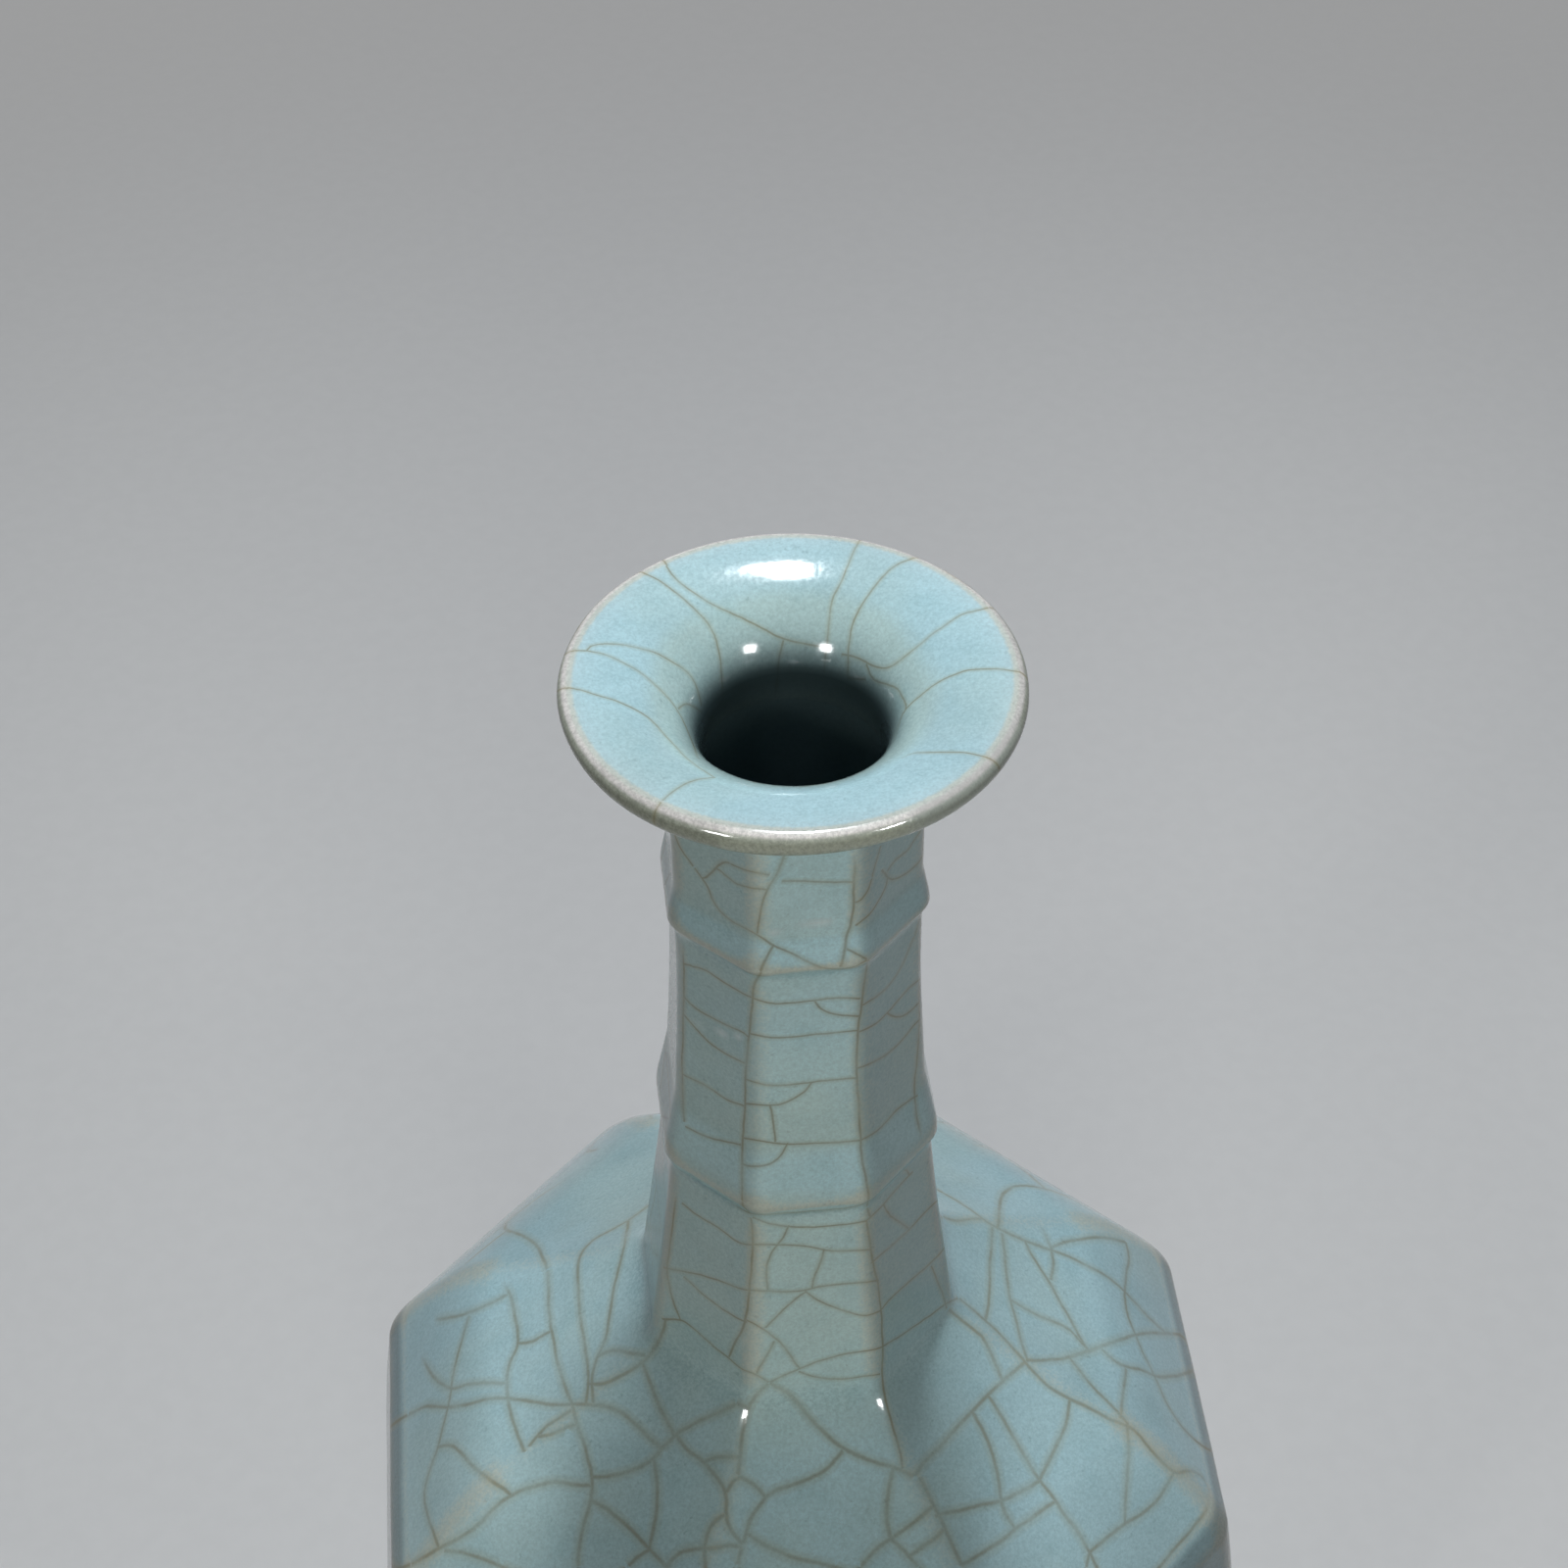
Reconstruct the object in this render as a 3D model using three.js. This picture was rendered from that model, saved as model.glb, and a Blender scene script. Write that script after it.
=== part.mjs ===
// Octagonal bottle vase in crackled celadon stoneware.
// Flat clay panels are luted together edge to edge, a pared neck and a thrown
// mouth stand on them, and a thick glaze coats the whole but the foot rim.
// Millimetres, +Z up, origin at the middle of the foot, front face towards -Y.
import * as THREE from 'three';

// Heights of the stacked sections, from the foot up
const FOOT_RING_HEIGHT = 9;
const BASE_SLAB_THICKNESS = 5;
const LOWER_BODY_HEIGHT = 73;
const UPPER_BODY_HEIGHT = 36.6;
const SHOULDER_OUTER_HEIGHT = 22.2;
const SHOULDER_INNER_HEIGHT = 19.8;
const NECK_ROOT_HEIGHT = 38.9;
const NECK_TAPER_HEIGHT = 45.5;
const NECK_STRAIGHT_HEIGHT = 30;
const MOUTH_STEM_HEIGHT = 1;
const LIP_UNDERSIDE_RISE = 10.4;

// Widths of the octagon across its flats
const FOOT_ACROSS_FLATS = 105;
const FOOT_WAIST_ACROSS_FLATS = 103;
const BODY_BOTTOM_ACROSS_FLATS = 109;
const BELLY_ACROSS_FLATS = 147.8;
const SHOULDER_EDGE_ACROSS_FLATS = 141.4;
const SHOULDER_TURN_ACROSS_FLATS = 104;
const NECK_ROOT_ACROSS_FLATS = 49.7;
const NECK_JOINT_ACROSS_FLATS = 40.8;
const NECK_ACROSS_FLATS = 36.1;

// Round mouth
const LIP_CREST_DIAMETER = 61.8;
const LIP_OVERHANG = 1.6;
const LIP_THICKNESS = 4.6;
const THROAT_DEPTH = 13.7;
// The mouth is fully round 1 / EARLY_ROUND of the way out from its stem
const EARLY_ROUND = 1.6;

// Radii of the upright arrises
const BODY_ARRIS_RADIUS = 8;
const NECK_ARRIS_RADIUS = 5;
const LEAST_ARRIS_RADIUS = 0.8;

// How far above and below the shoulder's edge its rounding reaches
const SHOULDER_EDGE_ROUNDING = 3.2;

// Clay and glaze
const BODY_WALL = 4.2;
const NECK_WALL = 2.75;
const OUTER_GLAZE_THICKNESS = 1;
const BAND_GLAZE_THICKNESS = 0.6;
const INNER_GLAZE_THICKNESS = 0.7;
const BOND_GAP = 0.3;
const SLIP_JOINT = 0.3;

// Foot
const FOOT_RIM_WIDTH = 6.5;
const BARE_FOOT_HEIGHT = 3;
const FOOT_BEVEL = 0.8;

// Raised bands on the neck: height, how far they stand proud, and where
const LOWER_BAND_HEIGHT = 14.5;
const LOWER_BAND_PROUD = 1.1;
const LOWER_BAND_RISE = 0.4;
const UPPER_BAND_HEIGHT = 7.5;
const UPPER_BAND_PROUD = 0.75;
const UPPER_BAND_DROP = 17;
const BAND_CREST_LOW = 0.2;
const BAND_CREST_HIGH = 0.42;

// Bends of the outline: two handles as shares of the step that they bend, and how many pieces
const LOWER_BODY_BEND = [[0.38, 0.15], [1, 0.5], 5];
const UPPER_BODY_BEND = [[0, 0.4], [0.6, 0.75], 3];
const SHOULDER_OUTER_BEND = [[0.28, 0.36], [0.62, 0.8], 3];
const SHOULDER_INNER_BEND = [[0.3, 0.21], [0.91, 0.59], 5];
const NECK_ROOT_BEND = [[0.36, 0.33], [0.75, 0.7], 2];
const NECK_TAPER_BEND = [[0.55, 0.3], [1, 0.67], 3];
const MOUTH_BEND = [[0, 0.75], [0.4, 0.9], 5];

// The octagon's faces, anticlockwise from +X
const FACINGS = ['right', 'back_right', 'back', 'back_left', 'left', 'front_left', 'front', 'front_right'];
const SIDES = FACINGS.length;
const HALF_SIDE = Math.PI / SIDES;

// Fineness of the solids
const CORNER_POINTS = 3;
const EDGE_STEPS = 3;
const LIP_STEPS = 5;
const THROAT_STEPS = 5;

// Heights nearer to each other than this are one level
const ONE_LEVEL = 1e-6;
// A band's crest reaches this share of its height past its two stations
const CREST_MARGIN = 0.01;
// Where an outline turns sharply, an inset corner moves at most 1 / this of its depth
const MITRE_LIMIT = 0.7;

// Levels that the sections share
const BASE_LEVEL = FOOT_RING_HEIGHT;
const FLOOR_LEVEL = BASE_LEVEL + BASE_SLAB_THICKNESS;
const BELLY_LEVEL = FLOOR_LEVEL + LOWER_BODY_HEIGHT;
const SHOULDER_LEVEL = BELLY_LEVEL + UPPER_BODY_HEIGHT;
const TURN_LEVEL = SHOULDER_LEVEL + SHOULDER_OUTER_HEIGHT;
const ROOT_LEVEL = TURN_LEVEL + SHOULDER_INNER_HEIGHT;
const NECK_JOINT_LEVEL = ROOT_LEVEL + NECK_ROOT_HEIGHT;
const STRAIGHT_LEVEL = NECK_JOINT_LEVEL + NECK_TAPER_HEIGHT;
const MOUTH_LEVEL = STRAIGHT_LEVEL + NECK_STRAIGHT_HEIGHT;
const STEM_LEVEL = MOUTH_LEVEL + MOUTH_STEM_HEIGHT;
const UNDERSIDE_LEVEL = STEM_LEVEL + LIP_UNDERSIDE_RISE;
const LIP_LEVEL = UNDERSIDE_LEVEL + LIP_THICKNESS;

// How deep each surface lies under the outside, square to it
const CLAY_DEPTH = OUTER_GLAZE_THICKNESS + BOND_GAP;
const BORE_RADIUS = NECK_ACROSS_FLATS / 2 - CLAY_DEPTH - NECK_WALL - BOND_GAP - INNER_GLAZE_THICKNESS;

const GLAZE = { color: 0x8fbcc0, roughness: 0.12, metalness: 0 };
const CLAY = { color: 0x5d5148, roughness: 0.85, metalness: 0 };

// A station is one level of a surface: half its width across flats, its height,
// its arris radius, how round it is from 0 to 1, and the clay wall behind it.
function station(flat, z, corner, wall, round = 0) {
  return { flat, z, corner, wall, round };
}

function mix(a, b, t) {
  return a + (b - a) * t;
}

function mixStations(a, b, t) {
  return station(
    mix(a.flat, b.flat, t),
    mix(a.z, b.z, t),
    mix(a.corner, b.corner, t),
    mix(a.wall, b.wall, t),
    mix(a.round, b.round, t),
  );
}

// Cubic bend between two stations, with its handles as shares of the step between them.
function bend(from, to, first, second, steps) {
  const place = (x, y) => new THREE.Vector2(mix(from.flat, to.flat, x), mix(from.z, to.z, y));
  const curve = new THREE.CubicBezierCurve(place(0, 0), place(...first), place(...second), place(1, 1));
  return curve.getPoints(steps).map((point, index) => {
    const between = mixStations(from, to, index / steps);
    return { ...between, flat: point.x, z: point.y };
  });
}

// Joins stretches end to start, leaving out the station that two of them share.
function chain(...stretches) {
  return stretches.flatMap((stretch, index) => (index === 0 ? stretch : stretch.slice(1)));
}

function footSide() {
  return [
    station(FOOT_ACROSS_FLATS / 2, 0, BODY_ARRIS_RADIUS, BODY_WALL),
    station(FOOT_ACROSS_FLATS / 2, BARE_FOOT_HEIGHT, BODY_ARRIS_RADIUS, BODY_WALL),
    station(FOOT_WAIST_ACROSS_FLATS / 2, BASE_LEVEL, BODY_ARRIS_RADIUS, BODY_WALL),
  ];
}

function bodySide() {
  const bottom = station(BODY_BOTTOM_ACROSS_FLATS / 2, FLOOR_LEVEL, BODY_ARRIS_RADIUS, BODY_WALL);
  const belly = station(BELLY_ACROSS_FLATS / 2, BELLY_LEVEL, BODY_ARRIS_RADIUS, BODY_WALL);
  const edge = station(SHOULDER_EDGE_ACROSS_FLATS / 2, SHOULDER_LEVEL, BODY_ARRIS_RADIUS, BODY_WALL);
  return chain(
    bend(bottom, belly, ...LOWER_BODY_BEND),
    bend(belly, edge, ...UPPER_BODY_BEND),
  );
}

function shoulderSide() {
  const edge = station(SHOULDER_EDGE_ACROSS_FLATS / 2, SHOULDER_LEVEL, BODY_ARRIS_RADIUS, BODY_WALL);
  const turn = station(SHOULDER_TURN_ACROSS_FLATS / 2, TURN_LEVEL, BODY_ARRIS_RADIUS, BODY_WALL);
  const root = station(NECK_ROOT_ACROSS_FLATS / 2, ROOT_LEVEL, NECK_ARRIS_RADIUS, NECK_WALL);
  return chain(
    bend(edge, turn, ...SHOULDER_OUTER_BEND),
    bend(turn, root, ...SHOULDER_INNER_BEND),
  );
}

// Joins two rising outlines that meet at a corner, and rounds it.
function rounded(below, above, reach, steps) {
  const corner = above[0];
  const start = stationAt(below, corner.z - reach);
  const end = stationAt(above, corner.z + reach);
  const curve = new THREE.QuadraticBezierCurve(
    new THREE.Vector2(start.flat, start.z),
    new THREE.Vector2(corner.flat, corner.z),
    new THREE.Vector2(end.flat, end.z),
  );
  const turn = curve.getPoints(steps).map((point) => ({ ...corner, flat: point.x, z: point.y }));
  return chain(between(below, below[0].z, start.z), turn, between(above, end.z, above.at(-1).z));
}

function neckSide() {
  const root = station(NECK_ROOT_ACROSS_FLATS / 2, ROOT_LEVEL, NECK_ARRIS_RADIUS, NECK_WALL);
  const joint = station(NECK_JOINT_ACROSS_FLATS / 2, NECK_JOINT_LEVEL, NECK_ARRIS_RADIUS, NECK_WALL);
  const straight = station(NECK_ACROSS_FLATS / 2, STRAIGHT_LEVEL, NECK_ARRIS_RADIUS, NECK_WALL);
  const top = { ...straight, z: MOUTH_LEVEL };
  return chain(
    bend(root, joint, ...NECK_ROOT_BEND),
    bend(joint, straight, ...NECK_TAPER_BEND),
    [straight, top],
  );
}

// The outside of the mouth: an octagonal stem that turns round as it spreads, then the lip.
function mouthOutside() {
  const stem = station(NECK_ACROSS_FLATS / 2, MOUTH_LEVEL, NECK_ARRIS_RADIUS, NECK_WALL);
  const flare = { ...stem, z: STEM_LEVEL };
  const underside = station(LIP_CREST_DIAMETER / 2, UNDERSIDE_LEVEL, NECK_ARRIS_RADIUS, NECK_WALL, 1);
  const spread = bend(flare, underside, ...MOUTH_BEND).map((level) => ({
    ...level,
    round: Math.min(1, level.round * EARLY_ROUND),
  }));
  return chain([stem, flare], spread, arc(LIP_OVERHANG, LIP_THICKNESS / 2, -90, 90, LIP_STEPS));
}

// Part of an upright oval that has the lip's crest at its top, between two angles in degrees.
function arc(across, up, from, to, steps) {
  const oval = new THREE.EllipseCurve(
    LIP_CREST_DIAMETER / 2,
    LIP_LEVEL - up,
    across,
    up,
    THREE.MathUtils.degToRad(from),
    THREE.MathUtils.degToRad(to),
  );
  return oval.getPoints(steps).map((point) => station(point.x, point.y, NECK_ARRIS_RADIUS, NECK_WALL, 1));
}

// The inside of the mouth, from the crest of the lip down into the bore.
function mouthInside() {
  const run = LIP_CREST_DIAMETER / 2 - BORE_RADIUS;
  const throat = arc(run, THROAT_DEPTH, 90, 180, THROAT_STEPS);
  return chain(throat, [throat.at(-1), { ...throat.at(-1), z: MOUTH_LEVEL }]);
}

// Finds where a rising outline passes a height.
function stationAt(outline, z) {
  const index = outline.findIndex((level, i) => i > 0 && level.z >= z && outline[i - 1].z <= z);
  const [low, high] = [outline[index - 1], outline[index]];
  return mixStations(low, high, (z - low.z) / (high.z - low.z));
}

// The stretch of a rising outline between two heights, with stations at both.
function between(outline, low, high) {
  const inner = outline.filter((level) => level.z > low + ONE_LEVEL && level.z < high - ONE_LEVEL);
  return [stationAt(outline, low), ...inner, stationAt(outline, high)];
}

function lowerBand() {
  const bottom = NECK_JOINT_LEVEL + LOWER_BAND_RISE;
  return { bottom, height: LOWER_BAND_HEIGHT, proud: LOWER_BAND_PROUD };
}

function upperBand() {
  const bottom = MOUTH_LEVEL - UPPER_BAND_DROP - UPPER_BAND_HEIGHT;
  return { bottom, height: UPPER_BAND_HEIGHT, proud: UPPER_BAND_PROUD };
}

// A level of a band: the neck's own width there plus a share of how proud the band is.
function bandStation(neck, band, up, share) {
  const level = stationAt(neck, band.bottom + up * band.height);
  return { ...level, flat: level.flat + share * band.proud };
}

// The neck's outline with the bands raised on it: steep below, a long slope above.
function raiseBands(neck) {
  const low = lowerBand();
  const high = upperBand();
  const relief = (band) => [
    bandStation(neck, band, 0, 0),
    bandStation(neck, band, BAND_CREST_LOW, 1),
    bandStation(neck, band, BAND_CREST_HIGH, 1),
    bandStation(neck, band, 1, 0),
  ];
  return chain(
    between(neck, ROOT_LEVEL, low.bottom),
    relief(low),
    between(neck, low.bottom + low.height, high.bottom),
    relief(high),
    between(neck, high.bottom + high.height, MOUTH_LEVEL),
  );
}

// Moves an outline into the wall, square to itself, by a depth that may differ by station.
function inset(outline, depthOf) {
  const direction = (a, b) => new THREE.Vector2(b.flat - a.flat, b.z - a.z).normalize();
  return outline.map((level, index) => {
    const before = direction(outline[Math.max(index - 1, 0)], outline[Math.max(index, 1)]);
    const last = outline.length - 1;
    const after = direction(outline[Math.min(index, last - 1)], outline[Math.min(index + 1, last)]);
    const along = before.clone().add(after).normalize();
    const inward = new THREE.Vector2(-along.y, along.x);
    const depth = depthOf(level) / Math.max(along.dot(before), MITRE_LIMIT);
    return {
      ...level,
      flat: level.flat + inward.x * depth,
      z: level.z + inward.y * depth,
      corner: Math.max(level.corner + inward.x * depth, LEAST_ARRIS_RADIUS),
    };
  });
}

// Ring of points round one station: rounded corners joined by flats, eased towards a circle.
function ringPoints(level) {
  const points = [];
  const centre = (level.flat - level.corner) / Math.cos(HALF_SIDE);
  for (let side = 0; side < SIDES; side += 1) {
    const middle = (2 * side + 1) * HALF_SIDE;
    for (let step = 0; step < CORNER_POINTS; step += 1) {
      const turned = middle + (2 * step / (CORNER_POINTS - 1) - 1) * HALF_SIDE;
      const even = middle + ((2 * step + 1) / CORNER_POINTS - 1) * HALF_SIDE;
      const x = centre * Math.cos(middle) + level.corner * Math.cos(turned);
      const y = centre * Math.sin(middle) + level.corner * Math.sin(turned);
      const round = new THREE.Vector3(level.flat * Math.cos(even), level.flat * Math.sin(even), level.z);
      points.push(new THREE.Vector3(x, y, level.z).lerp(round, level.round));
    }
  }
  return points;
}

// Row of points across one panel that faces +X, between its two mitred edges.
function panelPoints(level) {
  const centre = (level.flat - level.corner) / Math.cos(HALF_SIDE);
  const half = SLIP_JOINT / 2;
  const out = centre + Math.sqrt(level.corner ** 2 - half ** 2);
  const edge = new THREE.Vector2(out, -half).rotateAround(new THREE.Vector2(), HALF_SIDE);
  const tangent = (level.flat - level.corner) * Math.tan(HALF_SIDE);
  return [
    new THREE.Vector3(edge.x, -edge.y, level.z),
    new THREE.Vector3(level.flat, -tangent, level.z),
    new THREE.Vector3(level.flat, tangent, level.z),
    new THREE.Vector3(edge.x, edge.y, level.z),
  ];
}

function geometryOf(points, faces) {
  const geometry = new THREE.BufferGeometry();
  geometry.setAttribute('position', new THREE.Float32BufferAttribute(points.flatMap((p) => p.toArray()), 3));
  geometry.setIndex(faces.flat());
  geometry.computeVertexNormals();
  return geometry;
}

// Skins rows of equal length with triangles, row to row and point to point.
function skin(rows, rowsClose, pointsClose) {
  const faces = [];
  const width = rows[0].length;
  const lastRow = rowsClose ? rows.length : rows.length - 1;
  const lastPoint = pointsClose ? width : width - 1;
  for (let row = 0; row < lastRow; row += 1) {
    const next = (row + 1) % rows.length;
    for (let point = 0; point < lastPoint; point += 1) {
      const beside = (point + 1) % width;
      const corners = [row * width + point, row * width + beside, next * width + beside, next * width + point];
      faces.push([corners[0], corners[1], corners[2]], [corners[0], corners[2], corners[3]]);
    }
  }
  return faces;
}

// A hollow piece: its outline goes up the outside and comes down the inside.
function hollow(outline) {
  const rows = outline.map(ringPoints);
  return geometryOf(rows.flat(), skin(rows, true, true));
}

// A piece that is closed across its first and last station.
function capped(outline) {
  const rows = outline.map(ringPoints);
  const width = rows[0].length;
  const top = (rows.length - 1) * width;
  const faces = skin(rows, false, true);
  for (let i = 1; i < width - 1; i += 1) {
    faces.push([0, i + 1, i], [top, top + i, top + i + 1]);
  }
  return geometryOf(rows.flat(), faces);
}

// One of the eight panels of a wall, with flat mitred edges.
function panel(outline) {
  const rows = outline.map(panelPoints);
  const width = rows[0].length;
  const faces = skin(rows, true, false);
  const face = outline.map((level) => new THREE.Vector2(level.flat, level.z));
  THREE.ShapeUtils.triangulateShape(face, []).forEach(([a, b, c]) => {
    faces.push([a * width, b * width, c * width]);
    faces.push([c, b, a].map((index) => index * width + width - 1));
  });
  return geometryOf(rows.flat(), faces);
}

function solid(name, geometry, finish) {
  const mesh = new THREE.Mesh(geometry, new THREE.MeshStandardMaterial(finish));
  mesh.name = name;
  return mesh;
}

// Surfaces of the wall, from the outside in
const plainNeck = neckSide();
const body = rounded(bodySide(), shoulderSide(), SHOULDER_EDGE_ROUNDING, EDGE_STEPS);
const plainOutside = [...footSide(), ...chain(body, plainNeck)];
const clayOutside = inset(plainOutside, () => CLAY_DEPTH);
const clayInside = inset(plainOutside, (level) => CLAY_DEPTH + level.wall);
const linerOutside = inset(plainOutside, (level) => CLAY_DEPTH + level.wall + BOND_GAP);
const linerInside = inset(plainOutside, (level) => CLAY_DEPTH + level.wall + BOND_GAP + INNER_GLAZE_THICKNESS);

// Turns the inside from octagonal in the body to round in the neck.
function boreRound(level) {
  const round = THREE.MathUtils.clamp((level.z - ROOT_LEVEL) / NECK_ROOT_HEIGHT, 0, 1);
  return { ...level, round };
}

// The clay between the outside and the inside, from one height to another.
function wallBetween(low, high) {
  const inner = between(clayInside, low, high).map(boreRound);
  return [...between(clayOutside, low, high), ...inner.reverse()];
}

function footRing() {
  const half = FOOT_ACROSS_FLATS / 2;
  const inside = half - FOOT_RIM_WIDTH;
  const level = (flat, z) => station(flat, z, BODY_ARRIS_RADIUS - (half - flat), BODY_WALL);
  return solid('foot_ring', hollow([
    level(half - FOOT_BEVEL, 0),
    level(half, FOOT_BEVEL),
    level(half, BARE_FOOT_HEIGHT),
    ...between(clayOutside, BARE_FOOT_HEIGHT, BASE_LEVEL),
    level(inside, BASE_LEVEL),
    level(inside, FOOT_BEVEL),
    level(inside + FOOT_BEVEL, 0),
  ]), CLAY);
}

function baseSlab() {
  return solid('base_slab', capped(between(clayOutside, BASE_LEVEL, FLOOR_LEVEL)), CLAY);
}

// Eight panels side by side, one for each face of the octagon.
function panelWall(name, low, high) {
  const geometry = panel(wallBetween(low, high));
  return FACINGS.map((facing, index) => {
    const mesh = solid(`${name}_${facing}`, geometry, CLAY);
    mesh.rotation.z = index * 2 * HALF_SIDE;
    return mesh;
  });
}

function neckRoot() {
  return solid('neck_root', hollow(wallBetween(ROOT_LEVEL, NECK_JOINT_LEVEL)), CLAY);
}

function neckTube() {
  return solid('neck_tube', hollow(wallBetween(NECK_JOINT_LEVEL, MOUTH_LEVEL)), CLAY);
}

// A strip of clay laid round the neck, under the thin glaze of the raised band.
function neckBand(name, band) {
  const seatDepth = OUTER_GLAZE_THICKNESS;
  const crestDepth = BAND_GLAZE_THICKNESS + BOND_GAP;
  const thickness = band.proud + seatDepth - crestDepth;
  const bare = BOND_GAP / (thickness + BOND_GAP);
  const at = (up, sink, share) => {
    const level = bandStation(plainNeck, band, up, share);
    return { ...level, flat: level.flat - sink, corner: level.corner - sink };
  };
  const low = mix(0, BAND_CREST_LOW, bare);
  const high = mix(1, BAND_CREST_HIGH, bare);
  return solid(name, hollow([
    at(low, seatDepth, 0),
    at(BAND_CREST_LOW, crestDepth, 1),
    at(BAND_CREST_HIGH, crestDepth, 1),
    at(high, seatDepth, 0),
  ]), CLAY);
}

const glazeOutside = chain(
  plainOutside.filter((level) => level.z <= ROOT_LEVEL + ONE_LEVEL),
  raiseBands(plainNeck),
  mouthOutside(),
  mouthInside(),
);

// Thin over the crests of the bands, full depth elsewhere.
function glazeDepth(level) {
  const onCrest = [lowerBand(), upperBand()].some((band) => {
    const up = (level.z - band.bottom) / band.height;
    return up > BAND_CREST_LOW - CREST_MARGIN && up < BAND_CREST_HIGH + CREST_MARGIN;
  });
  return onCrest ? BAND_GLAZE_THICKNESS : OUTER_GLAZE_THICKNESS;
}

// Cuts an outline that rises, turns over the lip and falls, at one height on each side.
function overLip(outline, outsideCut, insideCut) {
  const crest = outline.reduce((best, level, index) => (level.z > outline[best].z ? index : best), 0);
  const rising = outline.slice(0, crest + 1);
  const falling = outline.slice(crest).reverse();
  const up = between(rising, outsideCut, outline[crest].z);
  const down = between(falling, insideCut, outline[crest].z).reverse();
  return chain(up, down);
}

function mouthTrumpet() {
  const outline = chain(raiseBands(plainNeck).slice(-2), mouthOutside(), mouthInside());
  const clay = inset(outline, () => CLAY_DEPTH);
  return solid('mouth_trumpet', hollow(overLip(clay, MOUTH_LEVEL, MOUTH_LEVEL)), CLAY);
}

function outerGlaze() {
  const outer = overLip(glazeOutside, BARE_FOOT_HEIGHT, MOUTH_LEVEL);
  const inner = overLip(inset(glazeOutside, glazeDepth), BARE_FOOT_HEIGHT, MOUTH_LEVEL);
  return solid('outer_glaze', hollow([...outer, ...inner.reverse()]), GLAZE);
}

function innerGlaze() {
  const outer = between(linerOutside, FLOOR_LEVEL, MOUTH_LEVEL).map(boreRound);
  const inner = between(linerInside, FLOOR_LEVEL + INNER_GLAZE_THICKNESS, MOUTH_LEVEL).map(boreRound);
  return solid('inner_glaze', capped([...outer, ...inner.reverse()]), GLAZE);
}

function footWellGlaze() {
  const flat = FOOT_ACROSS_FLATS / 2 - FOOT_RIM_WIDTH - BOND_GAP;
  const corner = BODY_ARRIS_RADIUS - FOOT_RIM_WIDTH;
  const low = station(flat, BASE_LEVEL - INNER_GLAZE_THICKNESS, corner, BODY_WALL);
  return solid('foot_well_glaze', capped([low, { ...low, z: BASE_LEVEL }]), GLAZE);
}

const vase = new THREE.Group();
vase.add(
  footRing(),
  baseSlab(),
  ...panelWall('body_panel', FLOOR_LEVEL, SHOULDER_LEVEL),
  ...panelWall('shoulder_panel', SHOULDER_LEVEL, ROOT_LEVEL),
  neckRoot(),
  neckTube(),
  neckBand('lower_neck_band', lowerBand()),
  neckBand('upper_neck_band', upperBand()),
  mouthTrumpet(),
  outerGlaze(),
  innerGlaze(),
  footWellGlaze(),
);

export default vase;
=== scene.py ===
import math
import random

import bpy
import numpy as np
from mathutils import Matrix, Vector, noise
from mathutils.bvhtree import BVHTree


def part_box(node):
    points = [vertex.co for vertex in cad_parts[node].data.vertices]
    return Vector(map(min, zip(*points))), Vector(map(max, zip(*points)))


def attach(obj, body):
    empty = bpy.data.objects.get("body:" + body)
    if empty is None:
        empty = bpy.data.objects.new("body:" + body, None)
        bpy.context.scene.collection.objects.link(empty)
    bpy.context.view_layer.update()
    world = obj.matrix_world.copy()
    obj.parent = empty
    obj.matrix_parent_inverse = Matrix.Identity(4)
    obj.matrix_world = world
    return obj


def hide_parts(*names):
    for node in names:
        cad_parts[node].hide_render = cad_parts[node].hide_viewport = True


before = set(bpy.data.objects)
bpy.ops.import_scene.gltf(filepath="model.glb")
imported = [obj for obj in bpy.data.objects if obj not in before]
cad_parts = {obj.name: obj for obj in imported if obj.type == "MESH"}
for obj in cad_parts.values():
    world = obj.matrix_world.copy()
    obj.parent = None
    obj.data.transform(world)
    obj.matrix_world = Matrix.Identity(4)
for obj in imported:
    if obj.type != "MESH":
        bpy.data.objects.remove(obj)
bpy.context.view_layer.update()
MM = 0.001
SIDES = 8
HALF_SIDE = math.pi / SIDES


def top_of(node):
    """Height of the top of a CAD node, in millimetres."""
    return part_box(node)[1].z / MM


# Levels that the CAD part gives
BASE_LEVEL = top_of("foot_ring")
FLOOR_LEVEL = top_of("base_slab")
SHOULDER_LEVEL = top_of("body_panel_front")
ROOT_LEVEL = top_of("shoulder_panel_front")
JOINT_LEVEL = top_of("neck_root")
MOUTH_LEVEL = top_of("neck_tube")
LIP_LEVEL = top_of("outer_glaze")
GLAZE_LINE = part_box("outer_glaze")[0].z / MM
WELL_TOP = top_of("foot_well_glaze")
BELLY_LEVEL = FLOOR_LEVEL + 73.0
TURN_LEVEL = SHOULDER_LEVEL + 22.2
STRAIGHT_LEVEL = JOINT_LEVEL + 45.5
STEM_LEVEL = MOUTH_LEVEL + 1.0
LIP_THICKNESS = 3.7
UNDERSIDE_LEVEL = LIP_LEVEL - LIP_THICKNESS

# Half widths across the flats
FOOT_HALF = 52.5
WAIST_HALF = 51.5
BOTTOM_HALF = 54.5
BELLY_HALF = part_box("outer_glaze")[1].x / MM
EDGE_HALF = 70.7
TURN_HALF = 52.0
ROOT_HALF = 24.85
JOINT_HALF = 20.4
NECK_HALF = 18.05
LIP_CREST_RADIUS = 30.9
LIP_OVERHANG = 1.6
BORE_RADIUS = 13.0
THROAT_DEPTH = 13.7

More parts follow.
